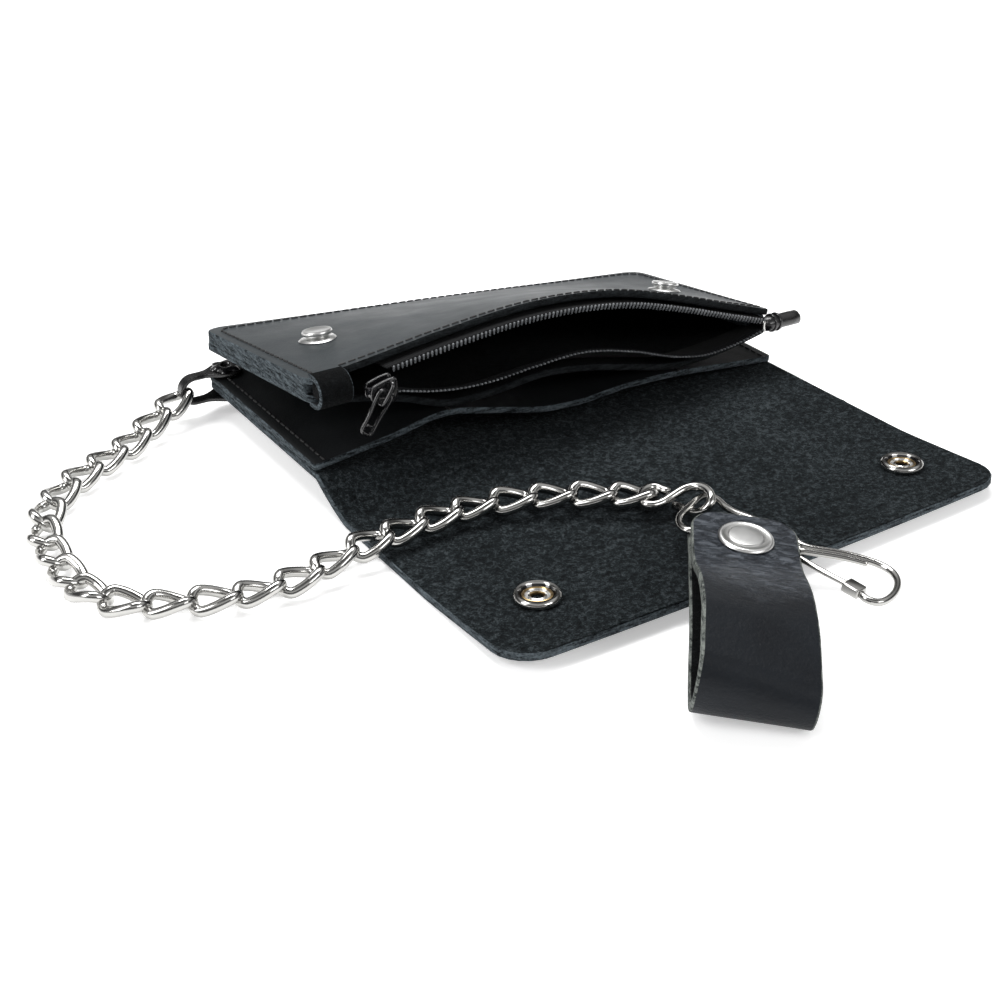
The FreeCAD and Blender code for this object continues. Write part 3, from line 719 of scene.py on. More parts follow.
def capsule(name, length, radius, sides=8):
    """A short round-ended rod along X, centred on the origin."""
    half = length / 2
    spots = [(-half, 0.35), (-half + radius * 0.4, 0.8), (-half + radius, 1.0)]
    spots += [(-x, r) for x, r in reversed(spots)]
    verts = []
    for x, r in spots:
        for k in range(sides):
            angle = 2 * math.pi * k / sides
            verts.append((x * MM, r * radius * MM * math.cos(angle), r * radius * MM * math.sin(angle)))
    faces = [tuple(range(sides)), tuple((len(spots) - 1) * sides + k for k in range(sides))]
    for i in range(len(spots) - 1):
        for k in range(sides):
            m = (k + 1) % sides
            faces.append((i * sides + k, i * sides + m, (i + 1) * sides + m, (i + 1) * sides + k))
    return new_object(name, verts, faces, [])


# ---------------------------------------------------------------- chain

# The chain's route over the table and the flap.
CHAIN_ROUTE = [
    (-9.2, 71, 8.7),
    (-19, 68, 7.0),
    (-29, 60, 4.2),
    (-40, 53.5, 3.6),
    (-54, 46, 3.6),
    (-66, 36, 3.6),
    (-74, 24, 3.6),
    (-76.5, 10, 3.6),
    (-77, -6, 3.6),
    (-74, -20, 3.6),
    (-66, -29, 3.6),
    (-52, -35.5, 3.6),
    (-38, -39.5, 3.6),
    (-24, -40, 3.8),
    (-11, -37.5, 5.2),
    (0, -36.8, 6.3),
    (14, -35.6, 6.3),
    (28, -35.2, 6.3),
    (42, -38.2, 6.6),
    (54, -43.5, 7.0),
    (66.5, -51.3, 7.3),
    (78.3, -59.5, 7.3),
]
LINKS = 25
LINK_WIRE = 3.1
LINK_WIDTH = 10.6
LINK_TWIST = math.radians(-44)
LINK_OVERLAP = LINK_WIRE * 1.12
LINK_END = 0.92


def spline_points(points):
    """Points along the smooth route whose control points are given in wallet coordinates."""
    data = bpy.data.curves.new("route", "CURVE")
    data.dimensions = "3D"
    data.resolution_u = 20
    spline = data.splines.new("NURBS")
    spline.points.add(len(points) - 1)
    for point, spot in zip(spline.points, points):
        point.co = (*place(*spot), 1)
    spline.order_u = 3
    spline.use_endpoint_u = True
    route = scene_object("route", data)
    graph = bpy.context.evaluated_depsgraph_get()
    mesh = bpy.data.meshes.new_from_object(route.evaluated_get(graph), depsgraph=graph)
    line = np.array([tuple(v.co) for v in mesh.vertices])
    discard(route)
    bpy.data.meshes.remove(mesh)
    return line


def line_length(line):
    return float(np.sum(np.linalg.norm(np.diff(line, axis=0), axis=1)))


def trimmed(line, head, tail):
    """The line with a length cut from each end, in metres."""
    steps = np.linalg.norm(np.diff(line, axis=0), axis=1)
    marks = np.concatenate([[0], np.cumsum(steps)])
    wanted = np.linspace(head, marks[-1] - tail, len(line))
    return np.stack([np.interp(wanted, marks, line[:, k]) for k in range(3)], axis=1)


def twisted_link(pitch):
    """One curb link, long along X, its plane twisted from end to end."""
    half = (pitch * 1000 + LINK_OVERLAP) / 2
    radius = (LINK_WIDTH - LINK_WIRE) / 2
    straight = half - LINK_WIRE / 2 - radius * LINK_END
    line = []
    for t in np.linspace(0, 2 * math.pi, 56, endpoint=False):
        end = 1 if math.cos(t) > 0 else -1
        x = end * straight * min(1.0, abs(math.cos(t)) * 2.4) + radius * LINK_END * math.cos(t)
        y = radius * math.sin(t)
        lean = LINK_TWIST * x / half
        line.append((x * MM, y * MM * math.cos(lean), y * MM * math.sin(lean)))
    return sweep("link", line, LINK_WIRE / 2, NICKEL, closed=True, sides=12, in_metres=True)


def make_chain():
    line = spline_points(CHAIN_ROUTE)
    length = line_length(line)
    pitch = length / LINKS
    middle = trimmed(line, pitch / 2, pitch / 2)
    chain = repeated(
        "curb_chain",
        [middle],
        [[(0, 0, 1)] * len(middle)],
        twisted_link(pitch),
        NICKEL,
        REPEAT_BY_COUNT,
        Count=LINKS,
        Lean=0.10,
        Jitter=0.14,
        Seed=4,
    )
    finished(chain, "wallet", "nickel", "chain_links")
    return chain, line


chain, chain_line = make_chain()

# ---------------------------------------------------------------- leather heights

# Heights of each sheet's lower face from left to right, at its front and its back edge.
cover_lift = curve([(0, 7.5), (30, 4.4), (60, 2.0), (90, 0.5), (110, 0), (180, 0)])
leaf_front = curve([
    (0, 10.1), (25, 13.3), (46, 16.2), (62, 12.8), (84, 7.8), (96, 7.0),
    (114, 7.9), (137, 7.1), (160, 4.6), (180, 2.5),
])
leaf_back = curve([(0, 9.9), (46, 13.9), (92, 6.3), (137, 5.8), (180, 2.5)])
pouch_front = curve([
    (0, 31.5), (29, 25), (46, 19.0), (60, 18.4), (85, 19.8), (101, 17.6),
    (114, 14.6), (137, 9.8), (157, 10.6), (180, 14.6),
])
pouch_back = curve([(0, 20.5), (180, 5.0)])
top_front = curve([
    (0, 36.3), (22, 38.8), (47, 41.8), (78, 43.8), (96, 42.8), (114, 39.9),
    (135, 33.9), (157, 26.5), (180, 19.0),
])
top_back = curve([(0, 24.8), (180, 9.1)])
TOP_FRONT = 2.0
POUCH_FRONT = 1.0


def ruled(front, back, front_y):
    """A sheet's lower-face height between its front edge and its back edge."""

    def low(x, y):
        share = np.clip((y - front_y) / (DEPTH - front_y), 0, 1)
        return front(x) + (back(x) - front(x)) * share

    return low


leaf_low = ruled(leaf_front, leaf_back, 0)
pouch_low = ruled(pouch_front, pouch_back, POUCH_FRONT)
top_low = ruled(top_front, top_back, TOP_FRONT)

# ---------------------------------------------------------------- cover

SEAM_Y = -36.0
RIM_Y = -105.0
LIFT_Y = -18.0
FLAP_BEND_Y = -60.0
FLAP_SLOPE = 3.2 / 43.5
RIM_BOW = 1.6
RIM_MIDDLE = 95


def cover_low(x, y):
    """The cover's lower face: its back part rises to the left, its flap rises to the rim."""
    lift = cover_lift(x) * np.clip((y - LIFT_Y) / -LIFT_Y, 0, 1) ** 1.4
    rise = np.maximum(0, FLAP_BEND_Y - y)
    ease = rise * rise / (rise + 5)
    return lift + ease * FLAP_SLOPE


def rim_bow(grid):
    """The flap's rim bows out in the middle."""
    share = np.clip((FLAP_BEND_Y - grid[..., 1]) / (FLAP_BEND_Y - RIM_Y), 0, 1)
    grid[..., 1] += share**2 * RIM_BOW * (((grid[..., 0] - RIM_MIDDLE) / (LENGTH / 2)) ** 2 - 0.15)
    return grid


COVER_SKINS = [FLAP_SUEDE, COVER_GRAIN, DARK_EDGE]
body_part = outline_grid(0, LENGTH, DEPTH, SEAM_Y, cover_low, back_corner=4.5, columns=116, step=1.5)
cover_rear = leather("cover_body", body_part, LEATHER, COVER_SKINS, flip=True, plain_rows=(-1,))
flap_part = rim_bow(outline_grid(0, LENGTH, SEAM_Y, RIM_Y, cover_low, front_corner=11, columns=116, step=1.5))
cover_front = leather("cover_flap_leather", flap_part, LEATHER, COVER_SKINS, flip=True, plain_rows=(0,))
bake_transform(cover_rear)
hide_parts("cover_back", "cover_fold", "cover_spine")
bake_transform(cover_front)
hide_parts("cover_bridge", "cover_flap")

# ---------------------------------------------------------------- bill leaf and pouch

leaf_grid = outline_grid(0, LENGTH, DEPTH, 0, leaf_low, back_corner=4.5, front_corner=1.5)
leaf = leather("bill_leaf_leather", leaf_grid, LEATHER, [SHADED_GRAIN, SHADED_SUEDE, DARK_EDGE], flip=True)
finished(leaf, "wallet", "inner_leather", "bill_leaf")

pouch_grid = outline_grid(0, LENGTH, DEPTH, POUCH_FRONT, pouch_low, back_corner=5, front_corner=4)
POUCH_SKINS = [SHADED_SUEDE, SHADED_GRAIN, DARK_EDGE, SHADED_EDGE]
pouch = leather("pouch_lower_leather", pouch_grid, LEATHER, POUCH_SKINS, flip=True)
finished(pouch, "wallet", "inner_leather", "pouch_bottom")

top_grid = outline_grid(0, LENGTH, DEPTH, TOP_FRONT, top_low, back_corner=6, front_corner=4)
TOP_SKINS = [POUCH_GRAIN, SHADED_SUEDE, DARK_EDGE, SHADED_EDGE]
top = leather("pouch_top_leather", top_grid, LEATHER, TOP_SKINS, flip=True, rim=0.5)

# The cut edges at the pouch's mouth get a near-black edge finish: painted shade, as these front edges sit in
# shadow.
MOUTH = place(12, 3.5, 0)
for sheet in (top, pouch):
    for face in sheet.data.polygons:
        if face.material_index == 2 and face.center.y < MOUTH.y and face.center.x > MOUTH.x:
            face.material_index = 3
finished(top, "wallet", "pouch_leather", "pouch_top")


def filler(name, x0, x1, y_back, y_front, corner, columns, node):
    """A filler strip that closes the pouch's edge between its two leathers."""

    def floor(x, y):
        return pouch_low(x, y) + LEATHER * 1.02

    grid = outline_grid(x0, x1, y_back, y_front, floor, columns=columns, step=2.5)
    if corner:
        inset = np.clip(corner - (DEPTH - grid[..., 1]), 0, corner)
        shift = corner - np.sqrt(np.maximum(0, corner**2 - inset**2))
        towards = np.where(grid[..., 0] < LENGTH / 2, 1, -1)
        near_end = np.minimum(grid[..., 0], LENGTH - grid[..., 0])
        grid[..., 0] += towards * shift * np.clip(1 - near_end / 12, 0, 1)
        grid[..., 2] = floor(grid[..., 0], grid[..., 1])
    thick = top_low(grid[..., 0], grid[..., 1]) - grid[..., 2] - 0.12
    strip = leather(name, grid, thick, [SHADED_SUEDE, SHADED_SUEDE, DARK_EDGE], flip=True, rim=0.3)
    return finished(strip, "wallet", "inner_leather", node)


filler("welt_left", 0.35, 8, DEPTH - 8.2, 5, 0, 6, "side_welt_left")
filler("welt_right", 172, 179.65, DEPTH - 8.2, 5, 0, 6, "side_welt_right")
filler("welt_back", 0.35, 179.65, DEPTH - 0.3, DEPTH - 8, 5, 60, "back_welt")

# ---------------------------------------------------------------- stitches


def surface_line(low, thickness, spots, below=False):
    """Points and normals along (x, y) spots on a sheet's face."""
    dense = []
    for (x0, y0), (x1, y1) in zip(spots, spots[1:]):
        steps = max(2, int(math.hypot(x1 - x0, y1 - y0) / 1.0))
        for k in range(steps):
            dense.append((x0 + (x1 - x0) * k / steps, y0 + (y1 - y0) * k / steps))
    dense.append(spots[-1])
    xy = np.array(dense, float)
    x, y = xy[:, 0], xy[:, 1]
    step = 0.5
    slope_x = (low(x + step, y) - low(x - step, y)) / (2 * step)
    slope_y = (low(x, y + step) - low(x, y - step)) / (2 * step)
    normals = unit(np.stack([-slope_x, -slope_y, np.ones_like(x)], axis=1))
    if below:
        normals = -normals
    height = 0.0 if below else thickness
    points = np.stack([x, y, low(x, y)], axis=1) + normals * (height + 0.08)
    return placed(points), normals


STITCH_LEFT = 3.8
STITCH_RIGHT = 176.2


def edge_seam(front_left, side, front_right):
    """Stitch spots up the left side, along the back and down the right side."""
    left = [(STITCH_LEFT, front_left), (STITCH_LEFT, side), (7, 73.4)]
    return left + [(173, 73.4), (STITCH_RIGHT, side), (STITCH_RIGHT, front_right)]


SEAMS = [
    (top_low, edge_seam(4, 70, 6), False),
    (top_low, [(13, 4.6), (174, 4.6)], False),
    (leaf_low, edge_seam(2, 72, 2), False),
    (pouch_low, edge_seam(4, 70, 4), True),
    (pouch_low, [(18, 5.4), (170, 5.4)], True),
    (leaf_low, [(46, 0.8), (46, 9)], False),
    (leaf_low, [(137, 0.8), (137, 9)], False),
    (cover_low, edge_seam(2, 72, 2), True),
]
seam_rows = [surface_line(low, LEATHER, spots, below) for low, spots, below in SEAMS]
stitches = repeated(
    "edge_stitches",
    [row for row, _ in seam_rows],
    [ups for _, ups in seam_rows],
    capsule("stitch", 2.5, 0.42, 6),
    THREAD,
    REPEAT_BY_LENGTH,
    Spacing=3.2 * MM,
    Jitter=0.05,
    Seed=3,
)
finished(stitches, "wallet", "inner_leather")

# ---------------------------------------------------------------- zip

TEETH_Y = -2.0
TAPE_SEAM_Y = 8.0
TAPE_THICK = 0.5
lower_row = curve([
    (27, 30.6), (38, 27.7), (48, 26.1), (58, 25.6), (76, 26.7), (94, 27.1), (114, 22.7),
    (134, 16.1), (146, 14.0), (156, 14.4), (173, 17.5),
])
ZIP_XS = np.linspace(24, 176.5, 120)


def upper_row(x):
    return top_front(x) - 1.2


def zip_tape(name, row, under, hang, node):
    """Tape from its seam in the pouch to its row of coil, bowed like folded cloth."""
    rows = []
    for share in np.linspace(0, 1, 9):
        y = TAPE_SEAM_Y + (TEETH_Y + 0.3 - TAPE_SEAM_Y) * share
        seam = under(ZIP_XS, TAPE_SEAM_Y)
        edge = row(ZIP_XS)
        bow = hang * math.sin(math.pi * share)
        z = seam + (edge - seam) * share**1.5 + bow
        rows.append(np.stack([ZIP_XS, np.full_like(ZIP_XS, y), z], axis=1))
    tape = leather(name, np.array(rows), TAPE_THICK, [TAPE, TAPE, TAPE], flip=True, rim=0.12)
    return finished(tape, "wallet", "zip_tape", node)


zip_tape("zip_tape_top", upper_row, lambda x, y: top_low(x, y) - 0.7, -0.15, "zip_tape_upper")
zip_tape("zip_tape_bottom", lower_row, lambda x, y: pouch_low(x, y) + LEATHER + 0.15, 0.5, "zip_tape_lower")


def coil(name, row, up, node):
    """A row of coil turns that stand across the tape's edge."""
    y = TEETH_Y - 0.7
    xs = np.linspace(25.5, 176, 260)
    line = placed(np.stack([xs, np.full_like(xs, y), row(xs)], axis=1))
    tooth = capsule("tooth", 2.2, 0.35, 7)
    tooth.data.transform(Matrix.Rotation(math.radians(90), 4, "Y"))
    turns = {"Spacing": 1.45 * MM, "Jitter": 0.05, "Seed": 5}
    made = repeated(name, [line], [[up] * len(line)], tooth, COIL_PAINTED_GLINT, REPEAT_BY_LENGTH, **turns)
    backing = placed(np.stack([xs, np.full_like(xs, y + 0.45), row(xs)], axis=1))[::3]
    cord = sweep(name + "_cord", backing, 0.5, TAPE, sides=8, in_metres=True)
    return finished(joined(name, [made, cord]), "wallet", "zip_coil", node)


coil("zip_coil_top", upper_row, (0, -0.25, 1), "zip_teeth_upper")
coil("zip_coil_bottom", lower_row, (0, -0.9, 0.35), "zip_teeth_lower")

SLIDER = place(20, -4.7, 33.5)
PULL_LEAN = math.radians(32.7)
PULL_DOWN = Vector((-math.sin(PULL_LEAN), 0, -math.cos(PULL_LEAN)))
PULL_SIDE = Vector((math.cos(PULL_LEAN), 0, -math.sin(PULL_LEAN)))
PULL_EYE = SLIDER + Vector((0, -(2.2 + 0.85) * MM, 0))


def wedge_plate(name, y):
    """A slider plate: wide where the two rows part, narrow at its tail, with rolled rims."""
    upper = [(-4.5, 2.2), (-2.5, 3.0), (1.5, 4.0), (4.5, 4.0)]
    outline = upper + [(x, -z) for x, z in reversed(upper)]
    line = cut_line([(x, 0, z) for x, z in outline], rounds=3, closed=True)
    worked = bmesh.new()
    ring = [worked.verts.new((x * MM, -0.55 * MM, z * MM)) for x, _, z in line]
    face = worked.faces.new(ring)
    grown = bmesh.ops.extrude_face_region(worked, geom=[face])
    moved = [v for v in grown["geom"] if isinstance(v, bmesh.types.BMVert)]
    bmesh.ops.translate(worked, vec=(0, 1.1 * MM, 0), verts=moved)
    rims = [e for e in worked.edges if abs(e.verts[0].co.y - e.verts[1].co.y) < 1e-6]
    bmesh.ops.bevel(worked, geom=rims, offset=0.3 * MM, segments=3, affect="EDGES", profile=0.5)
    bmesh.ops.recalc_face_normals(worked, faces=worked.faces)
    bmesh.ops.translate(worked, vec=SLIDER + Vector((0, y * MM, 0)), verts=worked.verts)
    return from_bmesh(name, worked, [GUNMETAL], sharp=35)


def make_slider():
    parts = [wedge_plate("plate_front", -1.65), wedge_plate("plate_back", 1.65)]
    core = SLIDER + Vector((-3.2 * MM, 0, 0))
    parts.append(soft_box("wedge", core, (2.4 * MM, 3.6 * MM, 2.4 * MM), [GUNMETAL], 0.3 * MM))
    front = SLIDER + Vector((0, -2.0 * MM, 0))
    out = Vector((0, -2.5 * MM, 0))
    arch = [
        front - PULL_DOWN * 3.4 * MM,
        front - PULL_DOWN * 3.5 * MM + out * 0.7,
        front - PULL_DOWN * 2.4 * MM + out,
        front + PULL_DOWN * 2.4 * MM + out,
        front + PULL_DOWN * 3.5 * MM + out * 0.7,
        front + PULL_DOWN * 3.4 * MM,
    ]
    parts.append(sweep("bridge", cut_line([tuple(p) for p in arch]), 0.62, GUNMETAL, in_metres=True))
    return finished(joined("zip_slider_body", parts), "slider", "gunmetal", "zip_slider")


def make_pull():
    """The wire pull: a long loop with a bar across its lower end."""
    half = 2.5

    def at(side, down):
        return tuple(PULL_EYE + PULL_SIDE * side * MM + PULL_DOWN * down * MM)

    right = [(half, -0.5), (half, 3), (half * 0.72, 7.6), (half * 0.8, 13)]
    left = [(-side, down) for side, down in reversed(right)]
    corners = [at(*spot) for spot in [(0, -0.5)] + right + [(0, 13.2)] + left]
    loop_line = cut_line(corners, closed=True)
    loop = sweep("pull_frame", loop_line, 0.62, GUNMETAL, closed=True, in_metres=True)
    bar_line = [at(side, 10.6) for side in (-1.5, -0.6, 0.6, 1.5)]
    bar = sweep("pull_bar", bar_line, 0.5, GUNMETAL, in_metres=True)
    return finished(joined("zip_pull_frame", [loop, bar]), "pull", "gunmetal", "zip_pull")


make_slider()
make_pull()


def folded_strip(name, x0, x1, y_front, y_back, low, high):
    """A strip of leather folded round the zip's end, in a U that opens to the back."""
    outer = (high - low) / 2
    middle = (high + low) / 2
    bend = y_front + outer
    profile = [(y_back, -outer)]
    turns = np.linspace(-math.pi / 2, math.pi / 2, 15)
    profile += [(bend - outer * math.cos(t), outer * math.sin(t)) for t in turns]
    profile += [(y_back, outer)]
    xs = np.linspace(x0, x1, 14)
    rows = [np.stack([xs, np.full(14, y), np.full(14, middle + z)], axis=1) for y, z in profile]
    return leather(name, np.array(rows), 1.5, [SHADED_SUEDE, COVER_GRAIN, DARK_EDGE], flip=False, rim=0.3)


def make_left_tab():
    """The folded leather over the zip's left end, with a row of stitches at its right."""
    strip = folded_strip("tab_left", 0.9, 11.4, -3.0, 3.0, 31.5, 38.7)
    size = (9.6 * MM, 4.4 * MM, 4.2 * MM)
    core = soft_box("tab_core", place(6.4, 0.4, 35.1), size, [SHADED_SUEDE], 0.6 * MM)
    turns = np.linspace(-1.35, 1.35, 12)
    line = placed([(9.7, -3.12 + 3.7 * (1 - math.cos(t)), 35.1 + 3.7 * math.sin(t)) for t in turns])
    ups = [(0, -math.cos(t), math.sin(t)) for t in turns]
    stitch = capsule("stitch", 1.7, 0.34, 6)
    row = repeated("tab_stitches", [line], [ups], stitch, THREAD, REPEAT_BY_LENGTH, Spacing=2.4 * MM)
    tab = joined("zip_end_left", [strip, core, row])
    return finished(tab, "wallet", "inner_leather", "zip_tab_left")


make_left_tab()


def make_right_tab():
    """The narrow folded tab past the zip's right end, with its stitched band."""
    start, finish = place(172.6, -1.9, 18.9), place(188.4, -1.9, 18.5)
    line = [tuple(start.lerp(finish, t)) for t in np.linspace(0, 1, 9)]
    body = sweep("tab_body", line, 2.9, VINYL, sides=22, in_metres=True, flat=0.85)
    rings = []
    for share in (0.22, 0.36):
        spot = start.lerp(finish, share)
        profile = [(2.5, -0.5), (3.15, -0.45), (3.3, 0), (3.15, 0.45), (2.5, 0.5)]
        rings.append(turned("band", profile, spot, finish - start, [VINYL], 28, ring=True))
    stop = soft_box("stop", place(172.0, -2.6, 18.7), (1.6 * MM, 1.5 * MM, 3.8 * MM), [NICKEL], 0.4 * MM)
    return finished(joined("zip_end_right", [body, stop] + rings), "wallet", "tab_vinyl", "zip_tab_right")


make_right_tab()

# ---------------------------------------------------------------- snaps on the flap and the pouch


def sheet_spot(low, x, y, height):
    """A point on a sheet's face and the face's normal."""
    step = 2.0
    slope_x = float(low(x + step, y) - low(x - step, y)) / (2 * step)
    slope_y = float(low(x, y + step) - low(x, y - step)) / (2 * step)
    return place(x, y, float(low(x, y)) + height), Vector((-slope_x, -slope_y, 1)).normalized()


SOCKET_PROFILE = [
    (1.7, 0.0), (6.2, 0.0), (6.6, 0.5), (6.68, 1.2), (6.4, 1.95), (5.8, 2.35), (5.2, 2.3),
    (4.8, 1.9), (4.62, 1.2), (4.3, 0.9), (4.2, 1.45), (3.75, 1.62), (3.4, 1.3), (3.2, 0.75),
    (2.6, 0.72), (2.45, 1.15), (2.05, 1.28), (1.75, 1.05), (1.6, 0.4),
]
# Each profile segment's finish. The black plate on the groove's outer wall and floor, and at the foot of the
# centre hole, is painted shade in these recesses.
SOCKET_SKINS_WITH_SHADE = [0, 0, 0, 0, 0, 0, 0, 1, 1, 2, 2, 2, 3, 3, 0, 0, 2, 2, 1]
SNAP_Y = -81.0
STUD_Y = 36.0


def make_socket(side, x):
    spot, normal = sheet_spot(cover_low, x, SNAP_Y, LEATHER - 0.05)
    skins = [NICKEL, GUNMETAL, BRASS, WORN_NICKEL]
    ring = turned("socket_" + side, SOCKET_PROFILE, spot, normal, skins, indices=SOCKET_SKINS_WITH_SHADE, ring=True)
    finished(ring, "flap", "nickel", "snap_socket_" + side)
    spot, normal = sheet_spot(cover_low, x, SNAP_Y, 0.0)
    dome = [(0, 0.05), (6.6, 0.05), (7.3, -0.1), (7.45, -0.35), (6.6, -0.62), (4.0, -0.78), (0, -0.85)]
    cap = turned("outer_cap_" + side, dome, spot, normal, [WORN_NICKEL])
    finished(cap, "flap", "nickel", "snap_cap_" + side)


STUD_PROFILE = [
    (0, 0.0), (5.7, 0.0), (5.9, 0.3), (5.4, 0.7), (3.9, 0.9), (3.6, 1.2), (3.7, 1.6), (4.5, 1.85),
    (4.75, 2.2), (4.75, 2.8), (4.5, 3.2), (4.0, 3.3), (3.2, 3.1), (0, 3.05),
]


def uneven_rim(angle, radius):
    """The stud's foot is a little out of round."""
    return radius * (1 + 0.03 * math.sin(3 * angle)) if radius > 5 else radius


def make_stud(side, x):
    spot, normal = sheet_spot(top_low, x, STUD_Y, LEATHER - 0.02)
    stud = turned("stud_" + side, STUD_PROFILE, spot, normal, [WORN_NICKEL], spin=uneven_rim)
    finished(stud, "wallet", "nickel", "snap_stud_" + side)
    spot, normal = sheet_spot(top_low, x, STUD_Y, -0.05)
    back = [(0, 0.0), (3.9, 0.0), (4.0, -0.4), (3.4, -0.85), (0, -1.0)]
    rivet = turned("rivet_" + side, back, spot, normal, [WORN_NICKEL], 32)
    finished(rivet, "wallet", "nickel", "stud_rivet_" + side)


make_socket("left", 22.5)
make_socket("right", 159.0)
make_stud("left", 21.0)
make_stud("right", 159.5)

# ---------------------------------------------------------------- chain tab

TAB_X = 4.5
TAB_Y = 71.0
TAB_PAD = 5.5
TAB_THICK = 1.3
TAB_MIDDLE = 9.77
TAB_INNER = 3.6
TAB_TURN = -7.1
TAB_BEND_HALF = 1.9
TAB_TAPER = 8.5


def star_rim(angle, radius):
    """The eyelet's collar has six soft points."""
    return radius * (1 + 0.13 * math.cos(6 * angle)) if radius > 3 else radius


def make_chain_tab():
    """A glossy strip folded round the chain's first link, its round ends under the eyelet."""
    round_end = TAB_X + TAB_PAD * np.cos(np.linspace(0.08, math.pi / 2, 10))
    path = [(x, TAB_INNER) for x in round_end]
    path += [(x, TAB_INNER) for x in np.linspace(TAB_X - 0.8, TAB_TURN + 0.8, 14)]
    turns = np.linspace(math.pi / 2, math.pi * 1.5, 17)
    upper = list(path)
    path += [(TAB_TURN + TAB_INNER * math.cos(t), TAB_INNER * math.sin(t)) for t in turns]
    path += [(x, -z) for x, z in reversed(upper)]
    rows = []
    for x, z in path:
        if x > TAB_X:
            half = math.sqrt(max(0.2, TAB_PAD**2 - (x - TAB_X) ** 2))
        else:
            share = min(1.0, (TAB_X - x) / TAB_TAPER)
            half = TAB_PAD + (TAB_BEND_HALF - TAB_PAD) * (0.5 - 0.5 * math.cos(math.pi * share))
        ys = TAB_Y + half * np.linspace(-1, 1, 15)
        rows.append(np.stack([np.full(15, x), ys, np.full(15, TAB_MIDDLE + z)], axis=1))
    tab = leather("chain_tab_leather", np.array(rows), TAB_THICK, [VINYL, SHADED_SUEDE, VINYL], rim=0.3)
    finished(tab, "wallet", "tab_vinyl", "chain_tab")
    seat = place(TAB_X, TAB_Y, TAB_MIDDLE + TAB_INNER + TAB_THICK)
    profile = [(1.5, 0), (4.5, 0), (4.7, 0.25), (4.4, 0.7), (3.4, 1.05), (2.6, 1.25), (1.9, 1.05), (1.5, 0.5)]
    eyelet = turned("star_eyelet", profile, seat, (0, 0, 1), [GUNMETAL], 72, ring=True, spin=star_rim)
    finished(eyelet, "wallet", "gunmetal", "tab_eyelet")


make_chain_tab()

# ---------------------------------------------------------------- S-hook, clip and belt loop

HOOK_LINE = [
    (83.2, -60.8, 7.3), (82.6, -56.0, 7.3), (79.1, -55.0, 7.3), (74.3, -58.0, 7.3), (72.7, -63.2, 7.3),
    (76.5, -64.8, 7.5), (81.4, -64.1, 8.3), (85.8, -64.1, 9.5), (88.5, -66.0, 10.6), (89.4, -69.7, 11.2),
    (87.8, -74.2, 10.8), (85.6, -75.2, 8.6), (83.8, -72.6, 6.0), (83.5, -67.7, 5.0), (82.9, -63.4, 4.9),
]
s_hook = sweep("s_hook_wire", cut_line(HOOK_LINE), 1.3, NICKEL, sides=18)
finished(s_hook, "wallet", "nickel", "s_hook")

STRAP_TOP = np.array([84.6, -89.35, 6.4])
ALONG = unit(np.array([-0.635, -0.773, -0.02]))
ACROSS = np.array([0.771, -0.634, -0.085])
ACROSS = unit(ACROSS - ALONG * ACROSS.dot(ALONG))
NORMAL = np.cross(ALONG, ACROSS)
NORMAL = NORMAL if NORMAL[2] > 0 else -NORMAL
STRAP_HALF = 14.5
STRAP_THICK = 2.2
BACK_HEIGHT = curve([(0, 1.8), (44, 1.8), (50, 1.4), (58, -0.4), (66, -1.9), (73.6, -2.3)])
FRONT_HEIGHT = curve([
    (0, 6.4), (13, 6.5), (20, 6.6), (27, 7.6), (35, 10.0),
    (43, 11.8), (52, 12.4), (60, 11.9), (68, 10.2), (73.6, 8.8),
])
TURN_AT = 73.6
SNAP_AT = 13
CURL = math.tan(math.radians(11))


def strap_point(d, s, h):
    """Wallet coordinates of a point along the strap, across it and above its lower plane."""
    return STRAP_TOP + ALONG * d + ACROSS * s + NORMAL * h


def strap_leather():
    """Strap leather: creased and pale near its snap, where wear and a painted highlight lighten the part that
    faces up; smooth and blue-black lower down.
    """
    finish = Finish("strap_grain")
    coords = []
    for axis, scale in ((ALONG, 1.0), (ACROSS, 0.45), (NORMAL, 1.0)):
        dot = finish.add("ShaderNodeVectorMath", operation="DOT_PRODUCT")
        dot.inputs[1].default_value = tuple(axis)
        finish.join(finish.place, dot.inputs[0])
        coords.append((dot.outputs["Value"], scale))
    combine = finish.add("ShaderNodeCombineXYZ")
    for (value, scale), slot in zip(coords, combine.inputs):
        finish.join(finish.times(value, scale), slot)
    local = combine.outputs[0]
    start = float(np.dot(np.array(place(*STRAP_TOP)), ALONG))
    ragged = finish.times(finish.sum(finish.noise(70, 4, 0.6), -0.5), 0.02)
    distance = finish.sum(finish.sum(coords[0][0], -start), ragged)
    # 1 near the snap, 0 lower down: the pale part is wear in the creases plus a painted highlight where the
    #                                strap faces up.
    wear_and_highlight = finish.range(distance, 0.034, 0.054, 1.0, 0.0)
    creases = finish.noise(560, 5, 0.65, local, 0.8)
    fine = finish.noise(1100, 3, 0.6)
    blue_black = [(0.3, (0.002, 0.003, 0.005)), (0.7, (0.006, 0.0085, 0.012))]
    pale_wear_and_highlight = [(0.34, (0.006, 0.008, 0.012)), (0.5, (0.024, 0.029, 0.037)), (0.66, (0.10, 0.112, 0.13))]
    smooth_tone = finish.ramp(finish.noise(40, 4, 0.6), blue_black)
    wear_and_highlight_tone = finish.ramp(creases, pale_wear_and_highlight)
    finish.colour(finish.blend(wear_and_highlight, smooth_tone, wear_and_highlight_tone))
    finish.roughness(finish.range(wear_and_highlight, 0, 1, 0.5, 0.44))
    crease_relief = finish.times(creases, finish.sum(wear_and_highlight, 0.12))
    relief = finish.sum(crease_relief, finish.times(fine, 0.1))
    finish.bump(relief, 1.0, 0.0014)
    finish.set(Specular_IOR_Level=0.2)
    return finish.material


